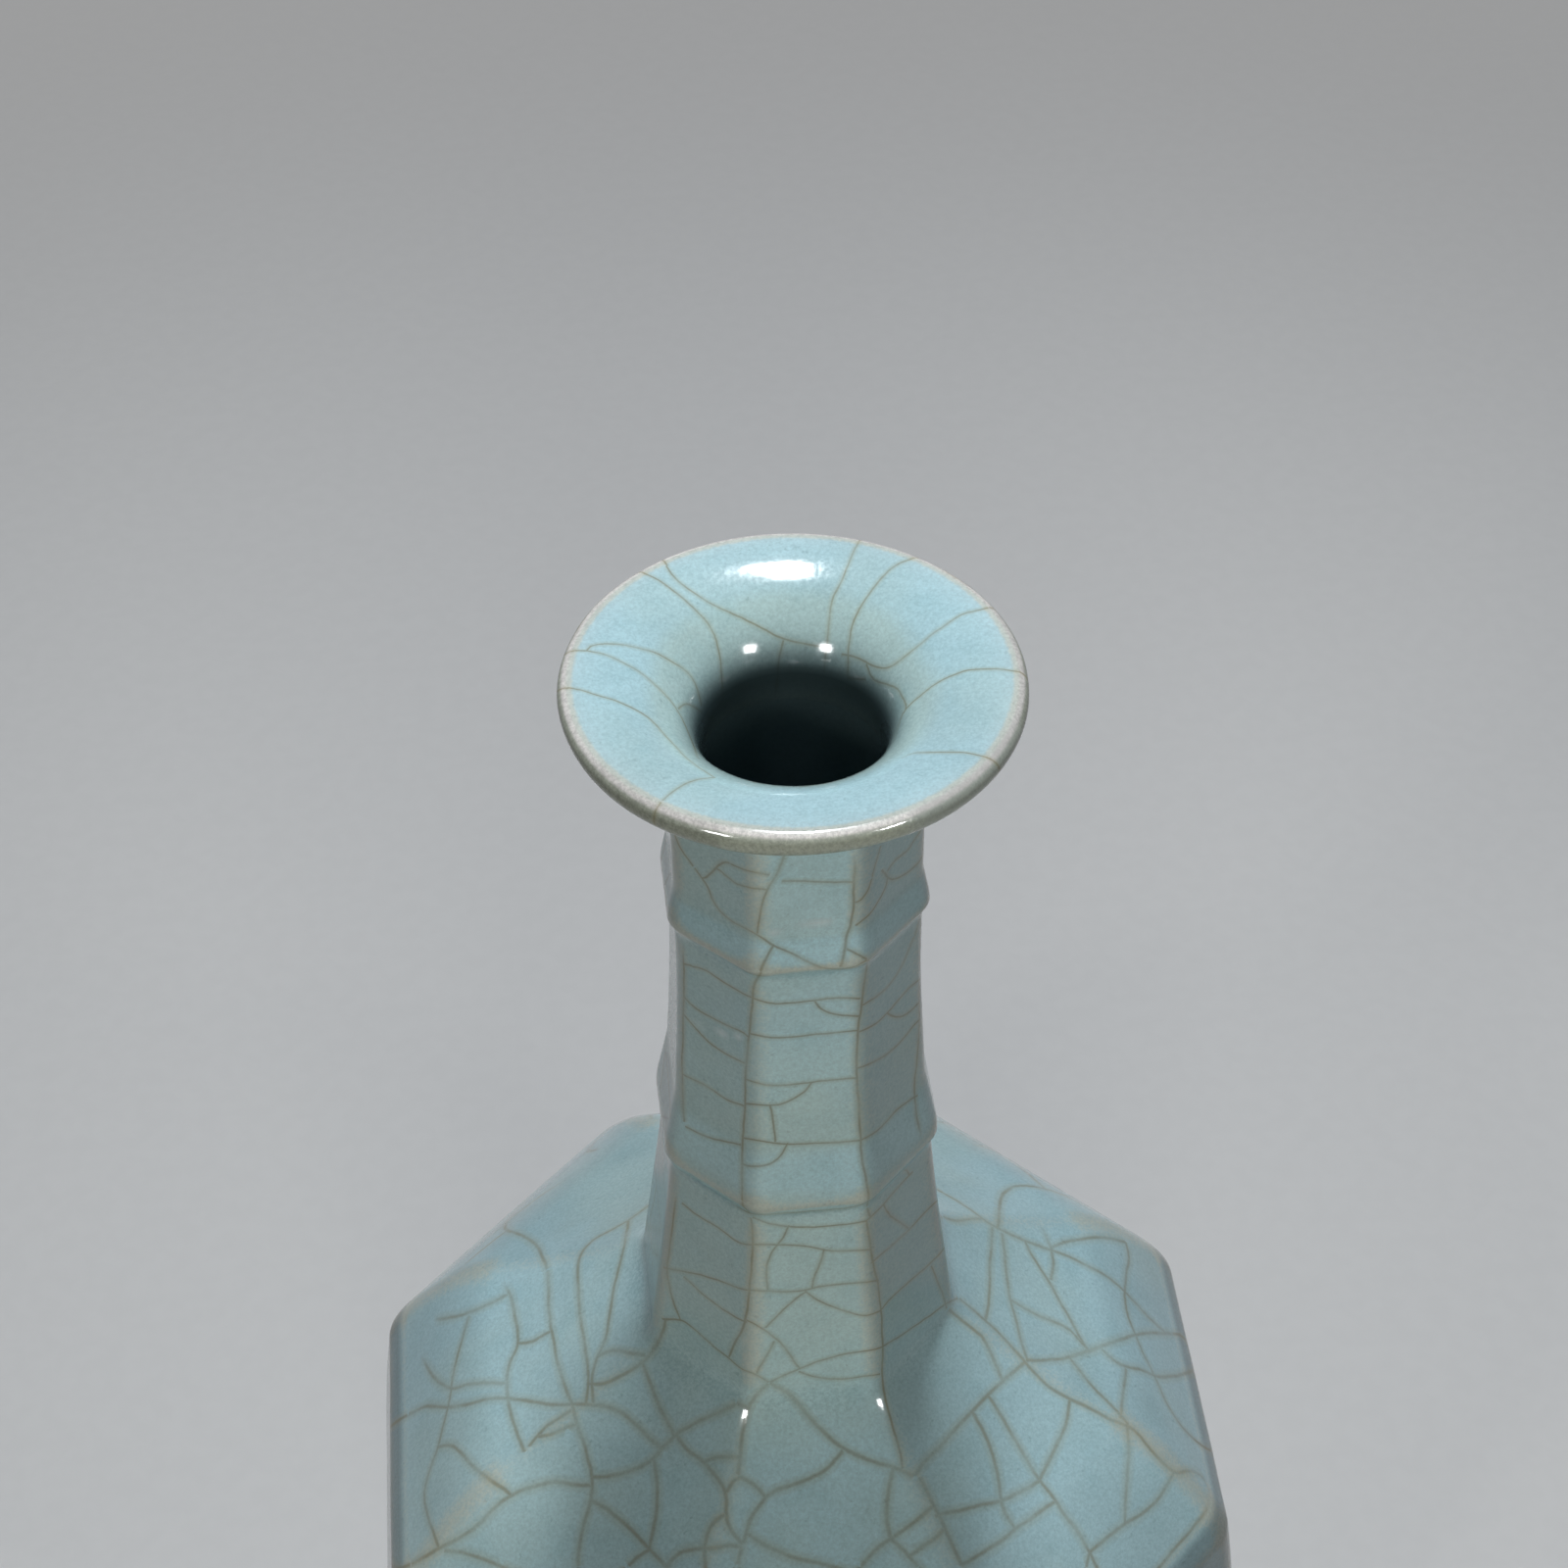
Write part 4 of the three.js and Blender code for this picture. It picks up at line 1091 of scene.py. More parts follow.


# Glaze: its body colours, where it runs deep or thin, at the lip, in cracks and scratches, and a painted shade for the
# dark bore
BLUE_GLAZE = (0.405, 0.60, 0.65)
GREY_GLAZE = (0.43, 0.585, 0.575)
DEEP_GLAZE = (0.23, 0.42, 0.46)
THIN_GLAZE = (0.50, 0.515, 0.43)
LIP_GLAZE = (0.31, 0.335, 0.265)
PALE_RIM = (0.80, 0.75, 0.74)
CRACK_STAIN = (0.19, 0.155, 0.065)
CRACK_HALO = (0.33, 0.31, 0.18)
SCRATCH = (0.72, 0.78, 0.78)
# Painted shade: the dark colour that the glaze is painted towards deep in the bore.
BORE_PAINTED_SHADE = (0.045, 0.068, 0.074)
RIM_SHARE, HALO_SHARE, STAIN_SHARE, SCRATCH_SHARE = 0.9, 0.28, 0.58, 0.5

# Bare clay, and how deep its grit is
PALE_CLAY, DARK_CLAY, CLAY_GRIT = (0.16, 0.125, 0.1), (0.09, 0.07, 0.055), 0.05
PALE_FOOT, DARK_FOOT, FOOT_GRIT = (0.14, 0.075, 0.05), (0.05, 0.03, 0.024), 0.06


def glaze_colour(n, at, relief, speckle):
    """Bluer or greyer by tone and clouds, deep where it pools, brownish where it runs thin, pale at the rim."""
    clouds = n.noise(at, 22, 3, 3)
    mottle = n.noise(at, 4, 4, 9, 0.6)
    tone = n.sum(n.value("tone"), n.ramp(clouds, 0.35, 0.65, -0.3, 0.3))
    colour = n.mix(n.ramp(tone, 0, 1), BLUE_GLAZE, GREY_GLAZE)
    colour = n.mix(n.ramp(mottle, 0.42, 0.75, 0, 0.2), colour, DEEP_GLAZE)
    rough_relief = n.sum(relief, n.ramp(speckle, 0.3, 0.7, -0.06, 0.06))
    colour = n.mix(n.ramp(rough_relief, -0.02, -0.45, 0, 0.7), colour, DEEP_GLAZE)
    colour = n.mix(n.ramp(rough_relief, 0.12, 0.42, 0, 0.75), colour, THIN_GLAZE)
    colour = n.mix(n.ramp(rough_relief, 0.45, 0.85, 0, 0.8), colour, LIP_GLAZE)
    return n.mix(n.product(n.value("rim"), RIM_SHARE), colour, PALE_RIM)


def glaze_shade(n, at, relief, speckle, grains):
    """Light and dark: speckles, clouds, grains, specks, pits on the lip's side, and the painted light and shade."""
    shade = n.ramp(speckle, 0.3, 0.7, 0.92, 1.06)
    shade = n.product(shade, n.ramp(n.noise(at, 13, 3, 91), 0.35, 0.65, 0.955, 1.035))
    pits = n.ramp(n.noise(at, 0.35, 3, 83, 0.75), 0.38, 0.62, -0.13, 0.12)
    pits = n.product(pits, n.ramp(relief, 0.43, 0.6))
    shade = n.product(shade, n.sum(pits, n.ramp(grains, 0.3, 0.7, 0.96, 1.04)))
    specks = n.ramp(n.noise(at, 0.8, 2, 71, 0.6), 0.66, 0.74, 1.0, 0.86)
    # Last comes the painted light and shade, which makes faces, walls and bands lighter or darker.
    return n.product(n.product(shade, specks), n.value("wash"))


def crack_cover(n, at, layer_count):
    """How much of each place the crack lines cover, and the halos beside them."""
    wander = n.product(n.math("SUBTRACT", n.noise(at, 2.4, 2, 41), 0.5), 0.5)
    size = n.value("crack_size")
    cores, halos = 0.0, 0.0
    for layer in range(layer_count):
        split = n.tree.nodes.new("ShaderNodeSeparateXYZ")
        n.put(split.inputs[0], n.value(f"cracks_{layer}", "Vector"))
        across = n.math("ABSOLUTE", n.sum(split.outputs[0], wander))
        share = n.math("DIVIDE", across, size)
        here = n.product(n.ramp(split.outputs[1], 1.9, 1.25), split.outputs[2])
        cores = n.math("MAXIMUM", n.product(n.ramp(share, 1.9, 0.2), here), cores)
        halos = n.math("MAXIMUM", n.product(n.ramp(share, 6.5, 0.4), here), halos)
    return cores, halos


def celadon(name, layer_count):
    """Thick crackled glaze, which reads its piece's attributes."""
    n = Nodes(name)
    at = n.place()
    speckle = n.noise(at, 0.4, 3, 17, 0.7)
    grains = n.noise(at, 0.22, 1, 31)
    relief = n.value("relief")
    colour = glaze_colour(n, at, relief, speckle)
    shade = glaze_shade(n, at, relief, speckle, grains)
    colour = n.mix(1.0, colour, n.add("CombineColor", {0: shade, 1: shade, 2: shade}), "MULTIPLY")
    cores, halos = crack_cover(n, at, layer_count)
    stain = n.product(cores, n.ramp(n.noise(at, 5, 3, 53), 0.32, 0.68, 0.4, 1.0))
    colour = n.mix(n.product(halos, HALO_SHARE), colour, CRACK_HALO)
    colour = n.mix(n.product(stain, STAIN_SHARE), colour, CRACK_STAIN)
    colour = n.mix(n.product(n.value("scratched"), SCRATCH_SHARE), colour, SCRATCH)
    # Painted shade: the depth value darkens the glaze towards the bore's dark colour.
    colour = n.mix(n.value("depth"), colour, BORE_PAINTED_SHADE)
    height = n.sum(n.product(n.noise(at, 2.2, 2, 61), 0.02), n.product(grains, 0.006))
    height = n.math("SUBTRACT", height, n.product(stain, 0.006))
    bump = n.add("Bump", {"Height": height, "Distance": MM, "Strength": 0.6}, "Normal")
    return n.finish(Base_Color=colour, Roughness=n.ramp(speckle, 0.3, 0.7, 0.08, 0.16), Normal=bump)


def fired_clay(name, pale, dark, grit):
    """Bare stoneware: mottled by the fire, with a gritty matte surface."""
    n = Nodes(name)
    at = n.place()
    colour = n.mix(n.ramp(n.noise(at, 7, 4, 5), 0.35, 0.65), dark, pale)
    fine = n.noise(at, 0.6, 3, 23, 0.7)
    colour = n.mix(n.ramp(fine, 0.55, 0.75, 0, 0.5), colour, [0.45 * c for c in dark])
    height = n.sum(n.product(fine, grit), n.product(n.noise(at, 3, 2, 11), grit))
    bump = n.add("Bump", {"Height": height, "Distance": MM, "Strength": 0.7}, "Normal")
    return n.finish(Base_Color=colour, Roughness=n.ramp(fine, 0.3, 0.7, 0.68, 0.9), Normal=bump)


# Pieces

levels = outside_levels()
outside = grid_points(levels)
outside_normals = normals_of(outside)
rows, width = outside.shape[:2]
outside = outside + outside_normals * wobble(outside)
above_line = outside[..., 2] - GLAZE_LINE
waver = np.array([noise.noise(Vector((p[0], p[1], 5)) * 0.045) for p in outside[0]])
outside[..., 2] += GLAZE_WAVER * waver[None] * between(above_line, WAVER_FADE, 0)
outside += outside_normals * (GLAZE_ROLL * near(above_line, ROLL_MIDDLE, 1.0))[..., None]


def wall_spacing(points):
    """Least half gap between cracks at places on the outside."""
    z = points[:, 2]
    apart = np.interp(z, SPACING_LEVELS, SPACINGS)
    radius = np.hypot(points[:, 0], points[:, 1])
    apart = np.where((z > MOUTH_LEVEL) & (radius > NECK_HALF + 2), MOUTH_SPACING, apart)
    apart = np.where(z < FLOOR_LEVEL, FOOT_SPACING, apart)
    vary = np.array([noise.noise(Vector(p) * SPACING_WAVES + Vector((3, 9, 4))) for p in points])
    return apart * (SPACING_MIDDLE + SPACING_VARIES * vary)


rng = random.Random(7)
skin = Skin(outside, outside_normals, wall_spacing)


def crack_size_at(point):
    """Half width of a crack at a place: fine in the mouth, wider below."""
    return FINE_CRACK if point[2] > LIP_LEVEL - FINE_DEPTH else NECK_CRACK if point[2] > ROOT_LEVEL else WIDE_CRACK


for pixels in MOUTH_CRACKS:
    trace(pixels, FINE_CRACK)
for pixels in NECK_CRACKS:
    trace(pixels, ARRIS_CRACK if pixels[-1] - pixels[1] > TALL_LINE else NECK_CRACK)
for pixels in SHOULDER_CRACKS:
    trace(pixels, WIDE_CRACK, SOFT_FOCUS)
traced = len(skin.cracks)
lead_on(traced)


def add_run(run):
    """An arris crack along a run of places, if there are enough of them."""
    if len(run) >= RUN_LEAST:
        skin.add(np.array(run), np.full(len(run), RUN_STRENGTH), ARRIS_CRACK)


def add_arris_cracks():
    """Cracks along the neck's arrises where the photograph doesn't show them."""
    up = len(levels.z) // 2
    for side in range(SIDES):
        middle = (side + 0.5) * 2 * HALF_SIDE - math.pi / 2
        start = ROOT_LEVEL - 6 + rng.uniform(-4, 4)
        run = []
        for z in np.arange(start, MOUTH_LEVEL + 4, 1.0):
            angle = middle + twist_at(z) + rng.gauss(0, ARRIS_WAVER)
            radius = np.interp(z, levels.z[:up], levels.half[:up]) * ARRIS_OUT
            point, normal = skin.settle((radius * math.cos(angle), radius * math.sin(angle), z))
            if not in_photo(point, normal):
                run.append(point)
                continue
            add_run(run)
            run = []
        add_run(run)


add_arris_cracks()
split_wide_cells(skin, crack_size_at, in_photo)
branch(skin, BRANCHES, crack_size_at, in_photo)
crack_layers = layers_of(skin)
first_scratch = len(skin.cracks)
for pixels in SCRATCHES:
    trace(pixels, WIDE_CRACK)
scratch_values = crack_values(skin, range(first_scratch, len(skin.cracks)))[0]
scratched = np.clip(1 - np.abs(scratch_values[:, 0]) / SCRATCH_HALF, 0, 1) * (scratch_values[:, 1] < SCRATCH_REACH)
del skin.cracks[first_scratch:]
print("cracks traced", traced, "all", len(skin.cracks), "layers", len(crack_layers))

back_rows = coarse_rows(levels, BACK_TOLERANCE)[::-1]
backs = (outside - outside_normals * GLAZE_THICKNESS)[back_rows]
shell = np.concatenate((outside, backs))
glaze = celadon("celadon_glaze", len(crack_layers))
clay = fired_clay("body_clay", PALE_CLAY, DARK_CLAY, CLAY_GRIT)
foot_clay = fired_clay("foot_clay", PALE_FOOT, DARK_FOOT, FOOT_GRIT)

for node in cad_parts.values():
    node.data.materials.clear()
    node.data.materials.append(foot_clay if node.name == "foot_ring" else clay)

exterior = mesh_piece(
    "exterior_glaze", shell, quads(len(shell), width, True).tolist(), glaze, "celadon_glaze", "outer_glaze"
)


def dress(piece, surface, layers_, **values_by_name):
    """Gives a glazed piece the values that its material reads."""
    count = len(surface.points)
    sizes = np.full(count, WIDE_CRACK)
    nearest = np.full(count, FAR)
    for number, layer in enumerate(layers_):
        values, layer_sizes = crack_values(surface, layer)
        set_values(piece, f"cracks_{number}", "FLOAT_VECTOR", values, count)
        nearer = values[:, 1] < nearest
        sizes = np.where(nearer, layer_sizes, sizes)
        nearest = np.minimum(nearest, values[:, 1])
    set_values(piece, "crack_size", "FLOAT", sizes, count)
    for name, values in values_by_name.items():
        set_values(piece, name, "FLOAT", values, count)


# How the glaze lies on the outside, with painted light and shade by face, on the walls, by the bands and in the bore.
# Values by face begin at the front and go round by the right.
# Painted light and shade by face on the neck: the front face is painted lighter and the faces beside it darker, as the
# light falls on them.
FACE_PAINTED_SHADING = (1.2, 0.76, 0.79, 0.94, 0.96, 1.02, 0.95, 0.875)
# Painted light and shade by face on the shoulder: the front is painted a little lighter and the back faces darker, the
# back left one most of all.
SHOULDER_PAINTED_SHADING = (1.08, 0.975, 0.94, 0.9, 0.93, 0.82, 0.98, 1.0)
FACE_THIN = (0.03, 0.14, 0.16, 0.08, 0, 0, 0, 0)
FACE_CREST = (0.85, 0.4, 0.7, 1, 1, 1, 1, 1)
TONE_LEVELS = (FLOOR_LEVEL, SHOULDER_LEVEL, TURN_LEVEL, ROOT_LEVEL, MOUTH_LEVEL)
TONES = (0.5, 0.3, 0.2, 0.6, 0.7)
MOUTH_TONE, THROAT_TONE, SLOPE_TONE = 0.15, 1.2, -0.5
# Painted light on the bands' slopes, painted shade on the walls, a painted shadow under the bands, and a little
# darkening inside the mouth.
SLOPE_PAINTED_LIGHT, WALL_PAINTED_SHADE, BAND_PAINTED_SHADOW, MOUTH_DARKENING = 0.1, -0.5, -0.16, -0.03
EDGE_LINE = SHOULDER_LEVEL + EDGE_REACH_UP
RELIEF_WIDTH = 2.0
HIGHEST_RELIEF = 0.42
SLOPE_RELIEF, CREST_RELIEF, EDGE_RELIEF, ARRIS_RELIEF = -0.08, 0.16, 0.2, 0.08
ROOT_GAIN, NECK_LOSS = 0.25, 0.3
NECK_POOL, BODY_POOL = -0.35, -0.18
LIP_RELIEF, LIP_FADE = 0.52, 2.2
RIM_BACK, RIM_WIDTH, RIM_TAIL, TAIL_FADE = 0.7, 0.42, 0.32, 1.6


def by_face(values):
    """A value for each column of the outside from one for each face, eased over the arrises."""
    columns = np.array(values)[ring_table(FLAT_COLUMNS, ARC_COLUMNS)[0]]
    for _ in range(5):
        columns = (np.roll(columns, 1) + columns + np.roll(columns, -1)) / 3
    return columns[None]


def exterior_values():
    """Relief, tone, depth (the bore's painted shade), rim and painted light and shade for each point of the outside."""
    heights = outside[..., 2]
    order = np.arange(rows)[:, None]
    crest = levels.z.argmax()
    outer = order < crest
    from_crest = (levels.run - levels.run[crest])[:, None]

    # Where things are
    in_band = [(heights > low) * (heights < low + tall) for low, tall, _ in BANDS]
    band_up = sum(between(heights, low, low + tall) * inside for (low, tall, _), inside in zip(BANDS, in_band))
    on_slope = between(band_up, CREST_HIGH, CREST_HIGH + 0.15) * between(band_up, 1, 0.85) * outer
    on_crest = near(band_up, CREST_LOW, 0.09) * outer * (band_up > 0)
    on_neck = between(heights, TURN_LEVEL + 6, TURN_LEVEL + 26) * outer
    mid_neck = between(heights, JOINT_LEVEL, JOINT_LEVEL + 8) * between(heights, MOUTH_LEVEL - 24, MOUTH_LEVEL - 32)
    on_shoulder = between(heights, EDGE_LINE, EDGE_LINE + 2) * between(heights, ROOT_LEVEL + 2, ROOT_LEVEL - 6)
    # Painted shade on the walls: full just below the edge line, easing to 0.45 of that from 10 to 50 mm under the
    # shoulder.
    wall_shaded = between(heights, EDGE_LINE - 0.2, EDGE_LINE - 1.8)
    wall_shaded = wall_shaded * (1 - 0.55 * between(heights, SHOULDER_LEVEL - 10, SHOULDER_LEVEL - 50))
    on_arris = between(np.abs(ring_table(FLAT_COLUMNS, ARC_COLUMNS)[1]), 1, 2)[None]
    on_arris = on_arris * between(heights, TURN_LEVEL + 16, TURN_LEVEL + 6) * on_shoulder

    # How far it stands out, which thins it, or lies in a hollow, which pools it
    relief = relief_of(outside, outside_normals, levels, RELIEF_WIDTH)
    relief = np.where(order < np.argmax(levels.z >= STEM_LEVEL), np.minimum(relief, HIGHEST_RELIEF), relief)
    relief = relief + SLOPE_RELIEF * on_slope + CREST_RELIEF * on_crest
    relief = relief * (1 + ROOT_GAIN * between(heights, ROOT_LEVEL, ROOT_LEVEL - 12))
    relief = (relief + EDGE_RELIEF * near(heights, EDGE_LINE, 1.1)) * (1 - NECK_LOSS * mid_neck)
    in_lip = LIP_RELIEF * relief * np.exp(-np.maximum(from_crest, 0) / LIP_FADE)
    relief = np.where(from_crest > 0, in_lip, relief)
    relief = relief * (1 + (by_face(FACE_CREST) - 1) * on_neck)
    relief = relief + by_face(FACE_THIN) * on_neck * (1 - on_slope)
    least = NECK_POOL + (BODY_POOL - NECK_POOL) * between(heights, JOINT_LEVEL - 6, JOINT_LEVEL - 18)
    relief = np.maximum(relief, least) + ARRIS_RELIEF * on_arris

    # Its colour, and the painted light and shade on it
    tone = np.where(outer, np.interp(heights, TONE_LEVELS, TONES), MOUTH_TONE) + SLOPE_TONE * on_slope
    tone = tone + THROAT_TONE * between(heights, LIP_LEVEL - 2, LIP_LEVEL - 5) * (order > crest)
    # Painted shade in the bore: darker from 5.5 mm below the lip to full at 11.5 mm, easing back a little lower down to
    # meet the liner.
    bore = eased(between(heights, LIP_LEVEL - 5.5, LIP_LEVEL - 11.5))
    bore = bore * (1 - 0.13 * between(heights, LIP_LEVEL - 11, LIP_LEVEL - 15))
    past_rim = from_crest + RIM_BACK
    tail = np.where(past_rim > 0, RIM_TAIL * np.exp(-np.maximum(past_rim, 0) / TAIL_FADE), 0)
    rim = np.maximum(tail, near(past_rim, 0, RIM_WIDTH)) + 0 * heights
    # Painted light and shade: faces of the neck and shoulder are painted lighter or darker as the light falls on them.
    wash = 1 + (by_face(FACE_PAINTED_SHADING) - 1) * on_neck + (by_face(SHOULDER_PAINTED_SHADING) - 1) * on_shoulder
    # Painted light on the bands' slopes and painted shade on the walls; the inside of the mouth is made a little
    # darker.
    wash = wash + SLOPE_PAINTED_LIGHT * on_slope + WALL_PAINTED_SHADE * wall_shaded + MOUTH_DARKENING * (order >= crest)
    # Painted shadow: a dark line just under the foot of each band.
    for low, _, _ in BANDS:
        wash = wash + BAND_PAINTED_SHADOW * near(heights, low + 0.3, 0.6) * outer
    return {"relief": relief, "tone": tone, "depth": np.where(order > crest, bore, 0), "rim": rim, "wash": wash}


values = exterior_values()
dress(exterior, skin, crack_layers, scratched=scratched, **values)
print("triangles", 2 * width * (rows + len(back_rows)), "relief", values["relief"].min(), values["relief"].max())


# Inside and foot: row steps, the liner's floor rows as shares of its half width, and how the arrises round off inside
LINER_STEPS, FLOOR_SHARES = (3.5, 3.0), np.array((0.02, 0.25, 0.5, 0.75, 0.93))
INNER_ARRIS_LESS, WIDEST_ARRIS = 2, 0.9
FOOT_STEP, WELL_STEP = 0.9, 1.0
FOOT_SHOULDER, FOOT_SLOPE = 1.4, 1.0
WELL_SIDE = (7.5, 1.5)
REST_INSET = 1.6
WELL_ROWS, WELL_CENTRE, MENISCUS_REACH = 40, 0.8, 1.6


def inset(outline, depth):
    """An outline moved square to itself into the wall."""
    along = np.gradient(outline, axis=0)
    along /= np.hypot(*along.T)[:, None]
    return outline + np.column_stack((-along[:, 1], along[:, 0])) * np.reshape(depth, (-1, 1))


def liner_levels():
    """The inner glaze: from the middle of its underside, up, over its top and down to its floor."""
    plain = joined(clipped(body_outline(), BASE_LEVEL + 1, ROOT_LEVEL), neck_outline())
    wall = wall_at(plain[:, 1])
    depth = GLAZE_THICKNESS + 2 * BOND_GAP + wall
    back = clipped(inset(plain, depth), FLOOR_LEVEL, MOUTH_LEVEL)
    front = clipped(inset(plain, depth + LINER_THICKNESS), FLOOR_LEVEL + LINER_THICKNESS, MOUTH_LEVEL)
    back, front = resampled(back, LINER_STEPS[0]), resampled(front, LINER_STEPS[1])[::-1]
    level_floor = np.full(len(FLOOR_SHARES), FLOOR_LEVEL)
    under = np.column_stack((back[0, 0] * FLOOR_SHARES, level_floor))
    floor = np.column_stack((front[-1, 0] * FLOOR_SHARES[::-1], level_floor + LINER_THICKNESS))
    half, z = np.vstack((under, back, front, floor)).T
    arris = np.maximum(arris_at(z) - (wall_at(z) + INNER_ARRIS_LESS), LEAST_ARRIS)
    return Levels(half, z, np.minimum(arris, half * WIDEST_ARRIS), between(z, ROOT_LEVEL, JOINT_LEVEL))


def foot_ring_levels():
    """The bare ring under the body, from its outer bottom edge round to its inner one."""
    side = FOOT_HALF - FOOT_DRAW
    inside = FOOT_HALF - FOOT_RIM
    outer = oval((side - FOOT_BEVEL, FOOT_BEVEL), FOOT_BEVEL, FOOT_BEVEL, -90, 0, 6)
    inner = oval((inside + FOOT_BEVEL, FOOT_BEVEL), FOOT_BEVEL, FOOT_BEVEL, 180, 270, 6)
    under = FOOT_HALF - GLAZE_THICKNESS - BOND_GAP
    top = [(under, GLAZE_LINE + FOOT_SHOULDER), (under - FOOT_SLOPE, BASE_LEVEL), (inside, BASE_LEVEL)]
    wall = resampled(np.array([(side, GLAZE_LINE)] + top), FOOT_STEP)
    well_side = resampled(np.array([(inside, z) for z in WELL_SIDE]), WELL_STEP)
    bottom = resampled(np.array([(inside + REST_INSET, 0), (side - REST_INSET, 0)]), FOOT_STEP)
    ring = np.vstack((outer, wall, well_side, inner, bottom))
    return Levels(*ring.T, BODY_ARRIS - (FOOT_HALF - ring[:, 0]), np.zeros(len(ring)))


def foot_well_levels():
    """The glaze in the foot well: from the middle of its face out to the ring."""
    edge = FOOT_HALF - FOOT_RIM - BOND_GAP
    half = np.linspace(WELL_CENTRE, edge, WELL_ROWS)
    z = WELL_TOP - LINER_THICKNESS - MENISCUS * np.exp((half - edge) / MENISCUS_REACH)
    return Levels(half, z, np.minimum(LEAST_ARRIS + 1, half * WIDEST_ARRIS), np.zeros(WELL_ROWS))


def grid_piece(name, levels_, fineness, faces_of, finish, slot_name, replaced):
    """A piece made of one grid, with the wall's own unevenness except where it rests."""
    points = grid_points(levels_, *fineness)
    normals = normals_of(points)
    points = points + normals * (wobble(points) * np.clip(points[..., 2:] / 3, 0, 1))
    return mesh_piece(name, points, faces_of(*points.shape[:2]), finish, slot_name, replaced)


def closed_grid(rows_, width_):
    """Faces of a grid that closes round both ways."""
    return quads(rows_, width_, True).tolist()


# The liner is painted nearly as dark as the bore (depth 0.87), with no other painted light or shade.
LINER_VALUES = {"crack_size": WIDE_CRACK, "relief": 0.0, "tone": 0.3, "rim": 0.0, "wash": 1.0, "depth": 0.87}
liner = grid_piece(
    "interior_glaze", liner_levels(), (10, 4), capped, celadon("inner_celadon", 0), "celadon_glaze", "inner_glaze"
)
for name, value in LINER_VALUES.items():
    set_values(liner, name, "FLOAT", np.full(len(liner.data.vertices), value), len(liner.data.vertices))
grid_piece("bare_foot_ring", foot_ring_levels(), (28, 6), closed_grid, foot_clay, "foot_clay", "foot_ring")

well_levels = foot_well_levels()
well = grid_points(well_levels, 24, 4)
well_normals = normals_of(well)
well = well + well_normals * 0.4 * wobble(well)
well_skin = Skin(well, well_normals, lambda places: np.full(len(places), WELL_SPACING))
split_wide_cells(well_skin, lambda place_: WIDE_CRACK, None)
branch(well_skin, WELL_BRANCHES, lambda place_: WIDE_CRACK, None)
well_layers = layers_of(well_skin)
well_top = well[-1:].copy()
well_top[..., 2] = WELL_TOP
well_coat = mesh_piece(
    "foot_well_coat", np.concatenate((well, well_top)), capped(len(well) + 1, well.shape[1]),
    celadon("foot_well_celadon", len(well_layers)), "celadon_glaze", "foot_well_glaze"
)
flat = np.zeros(well.shape[:2])
thin_edge = 0.3 * np.clip(1 - (well_levels.half[-1] - well_levels.half) / 3, 0, 1)[:, None] + flat
dress(well_coat, well_skin, well_layers, relief=thin_edge, tone=flat + 0.5, rim=flat, wash=flat + 1, depth=flat)
print("well cracks", len(well_skin.cracks), "layers", len(well_layers))


# Floor and light

PAPER, PAPER_LIGHT = 0.7, 0.12
PAPER_NEAR, PAPER_FAR = 450, 1000
GLOW, FARTHEST, GLOW_LEFT = 0.33, 5000, 0.76


def floor_paper():
    """Pale paper where it is seen or mirrored, also beyond the lamps' reach; it throws little light back."""
    n = Nodes("floor_paper")
    path = n.tree.nodes.new("ShaderNodeLightPath")
    seen = n.math("MAXIMUM", path.outputs["Is Camera Ray"], path.outputs["Is Glossy Ray"])
    seen = n.math("MAXIMUM", seen, path.outputs["Is Transmission Ray"])
    fibre = n.ramp(n.noise(n.place(), 3, 3, 5), 0.3, 0.7, 0.98, 1.0)
    from_vase = n.add("VectorMath", {0: n.place()}, "Value", operation="LENGTH")
    tint = n.product(fibre, n.ramp(from_vase, PAPER_NEAR, PAPER_FAR, PAPER, 0.05 * PAPER))
    pale = n.add("CombineColor", {0: tint, 1: tint, 2: tint})
    colour = n.mix(seen, (PAPER_LIGHT,) * 3, pale)
    fade = n.ramp(from_vase, PAPER_FAR, FARTHEST, 1, GLOW_LEFT)
    glow = n.product(n.ramp(from_vase, PAPER_NEAR, PAPER_FAR, 0, GLOW), fade)
    glow = n.product(glow, seen)
    n.material.cycles.emission_sampling = "NONE"
    return n.finish(Base_Color=colour, Roughness=0.9, Emission_Color=(1, 1, 1, 1), Emission_Strength=glow)


def add_floor(half=12.0):
    """A flat square floor, as far as can be seen."""
    mesh = bpy.data.meshes.new("floor")
    mesh.from_pydata([(-half, -half, 0), (half, -half, 0), (half, half, 0), (-half, half, 0)], [], [(0, 1, 2, 3)])
    floor = bpy.data.objects.new("floor", mesh)
    bpy.context.scene.collection.objects.link(floor)
    mesh.materials.append(floor_paper())


add_floor()
MOUTH_MIDDLE = Vector((0, 0, LIP_LEVEL * MM))


def toward(bearing, height, distance):
    """A place seen from the mouth at a bearing (0 is straight behind, 90 to the right) and a height in degrees."""
    b, h = math.radians(bearing), math.radians(height)
    return MOUTH_MIDDLE + distance * Vector((math.sin(b) * math.cos(h), math.cos(b) * math.cos(h), math.sin(h)))


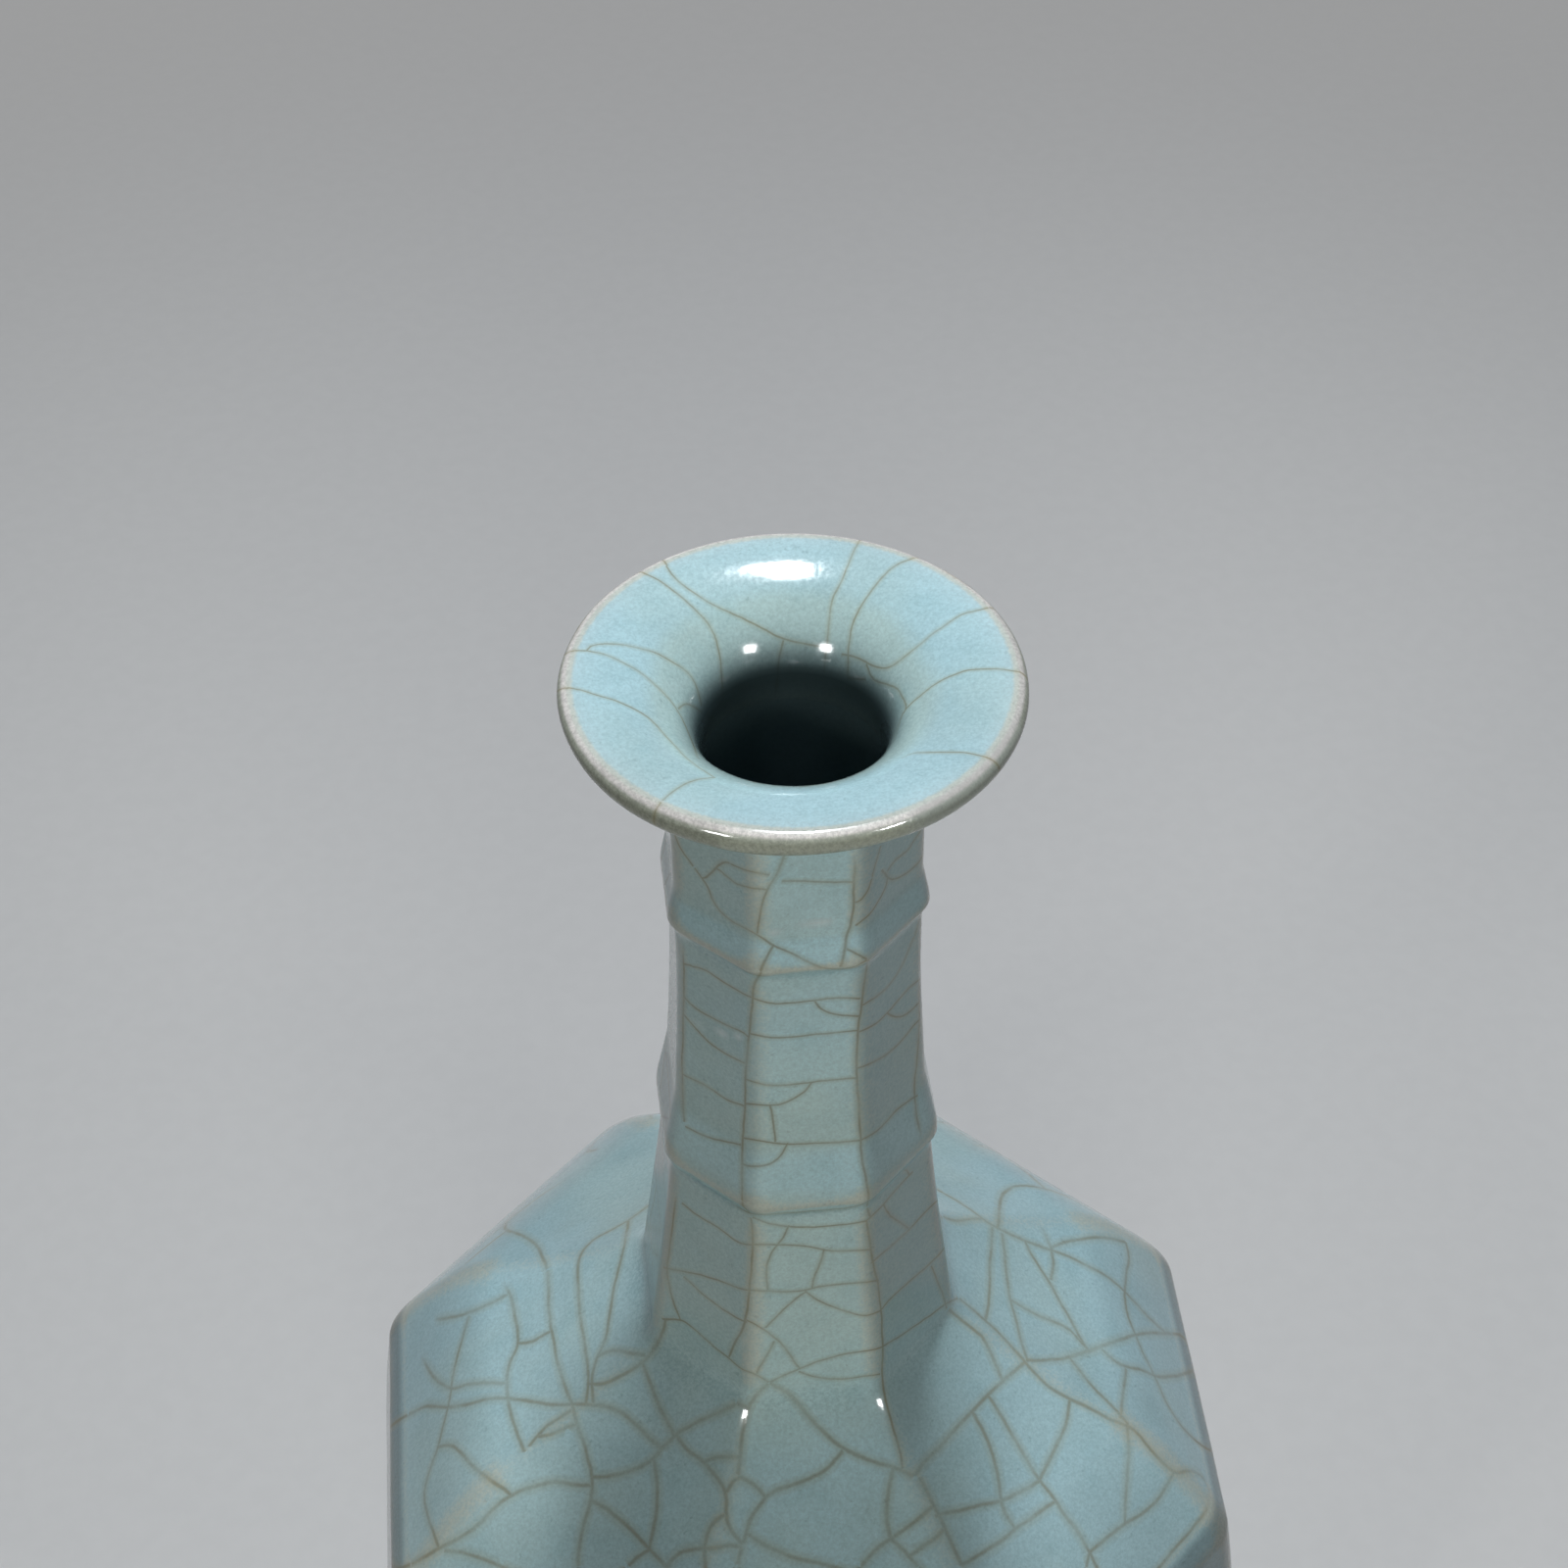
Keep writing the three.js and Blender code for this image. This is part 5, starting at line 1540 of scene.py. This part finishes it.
def add_lamp(name, place_, size, watts, colour, mirrored, lights):
    """A rectangular lamp that is aimed at the mouth."""
    data = bpy.data.lights.new(name, "AREA")
    data.shape = "RECTANGLE"
    data.size, data.size_y = size
    data.energy = watts
    data.color = colour
    lamp = bpy.data.objects.new(name, data)
    lamp.location = toward(*place_)
    lamp.rotation_euler = (MOUTH_MIDDLE - lamp.location).to_track_quat("-Z", "Y").to_euler()
    lamp.visible_glossy = mirrored
    lamp.visible_diffuse = lights
    bpy.context.scene.collection.objects.link(lamp)


# Lamps: bearing, height and distance (metres); size; watts; colour; seen in reflections; lights surfaces
COOL, WARM, WHITE = (0.96, 1.0, 1.04), (1.0, 0.985, 0.93), (1, 1, 1)
LAMPS = {
    "softbox": ((12, 72, 0.7), (0.064, 0.165), 4.9, COOL, True, True),
    "lamp_right": ((142, 26, 1.0), (0.1, 0.1), 0.4, WARM, False, True),
    "glint_right": ((142, 26, 1.01), (0.17, 0.15), 5.0, WHITE, True, False),
    "lamp_left": ((-140, 27, 1.0), (0.1, 0.1), 0.7, WARM, False, True),
    "glint_left": ((-140, 27, 1.01), (0.17, 0.15), 5.0, WHITE, True, False),
    "front_fill": ((182, 8, 1.3), (0.4, 0.4), 5.0, WARM, False, True),
    "side_fill": ((40, 40, 1.3), (0.4, 0.4), 0.5, COOL, False, True),
    "back_fill": ((-15, 18, 1.5), (0.5, 0.5), 1.8, WHITE, False, True),
}
for name, lamp_facts in LAMPS.items():
    add_lamp(name, *lamp_facts)

BACKDROP, BACKDROP_LIGHT = 0.25, 0.04


def add_world():
    """A pale backdrop where it is seen or mirrored, and next to no light from it."""
    world = bpy.data.worlds.new("studio")
    bpy.context.scene.world = world
    world.use_nodes = True
    tree = world.node_tree
    path = tree.nodes.new("ShaderNodeLightPath")
    strength = path.outputs["Is Camera Ray"]
    for other in ("Is Glossy Ray", "Is Transmission Ray"):
        most = tree.nodes.new("ShaderNodeMath")
        most.operation = "MAXIMUM"
        tree.links.new(strength, most.inputs[0])
        tree.links.new(path.outputs[other], most.inputs[1])
        strength = most.outputs[0]
    level = tree.nodes.new("ShaderNodeMapRange")
    level.inputs["To Min"].default_value = BACKDROP_LIGHT
    level.inputs["To Max"].default_value = BACKDROP
    tree.links.new(strength, level.inputs["Value"])
    tree.links.new(level.outputs["Result"], tree.nodes["Background"].inputs["Strength"])
    tree.nodes["Background"].inputs["Color"].default_value = (1, 1, 1, 1)


add_world()
bpy.context.scene.view_settings.view_transform = "Standard"
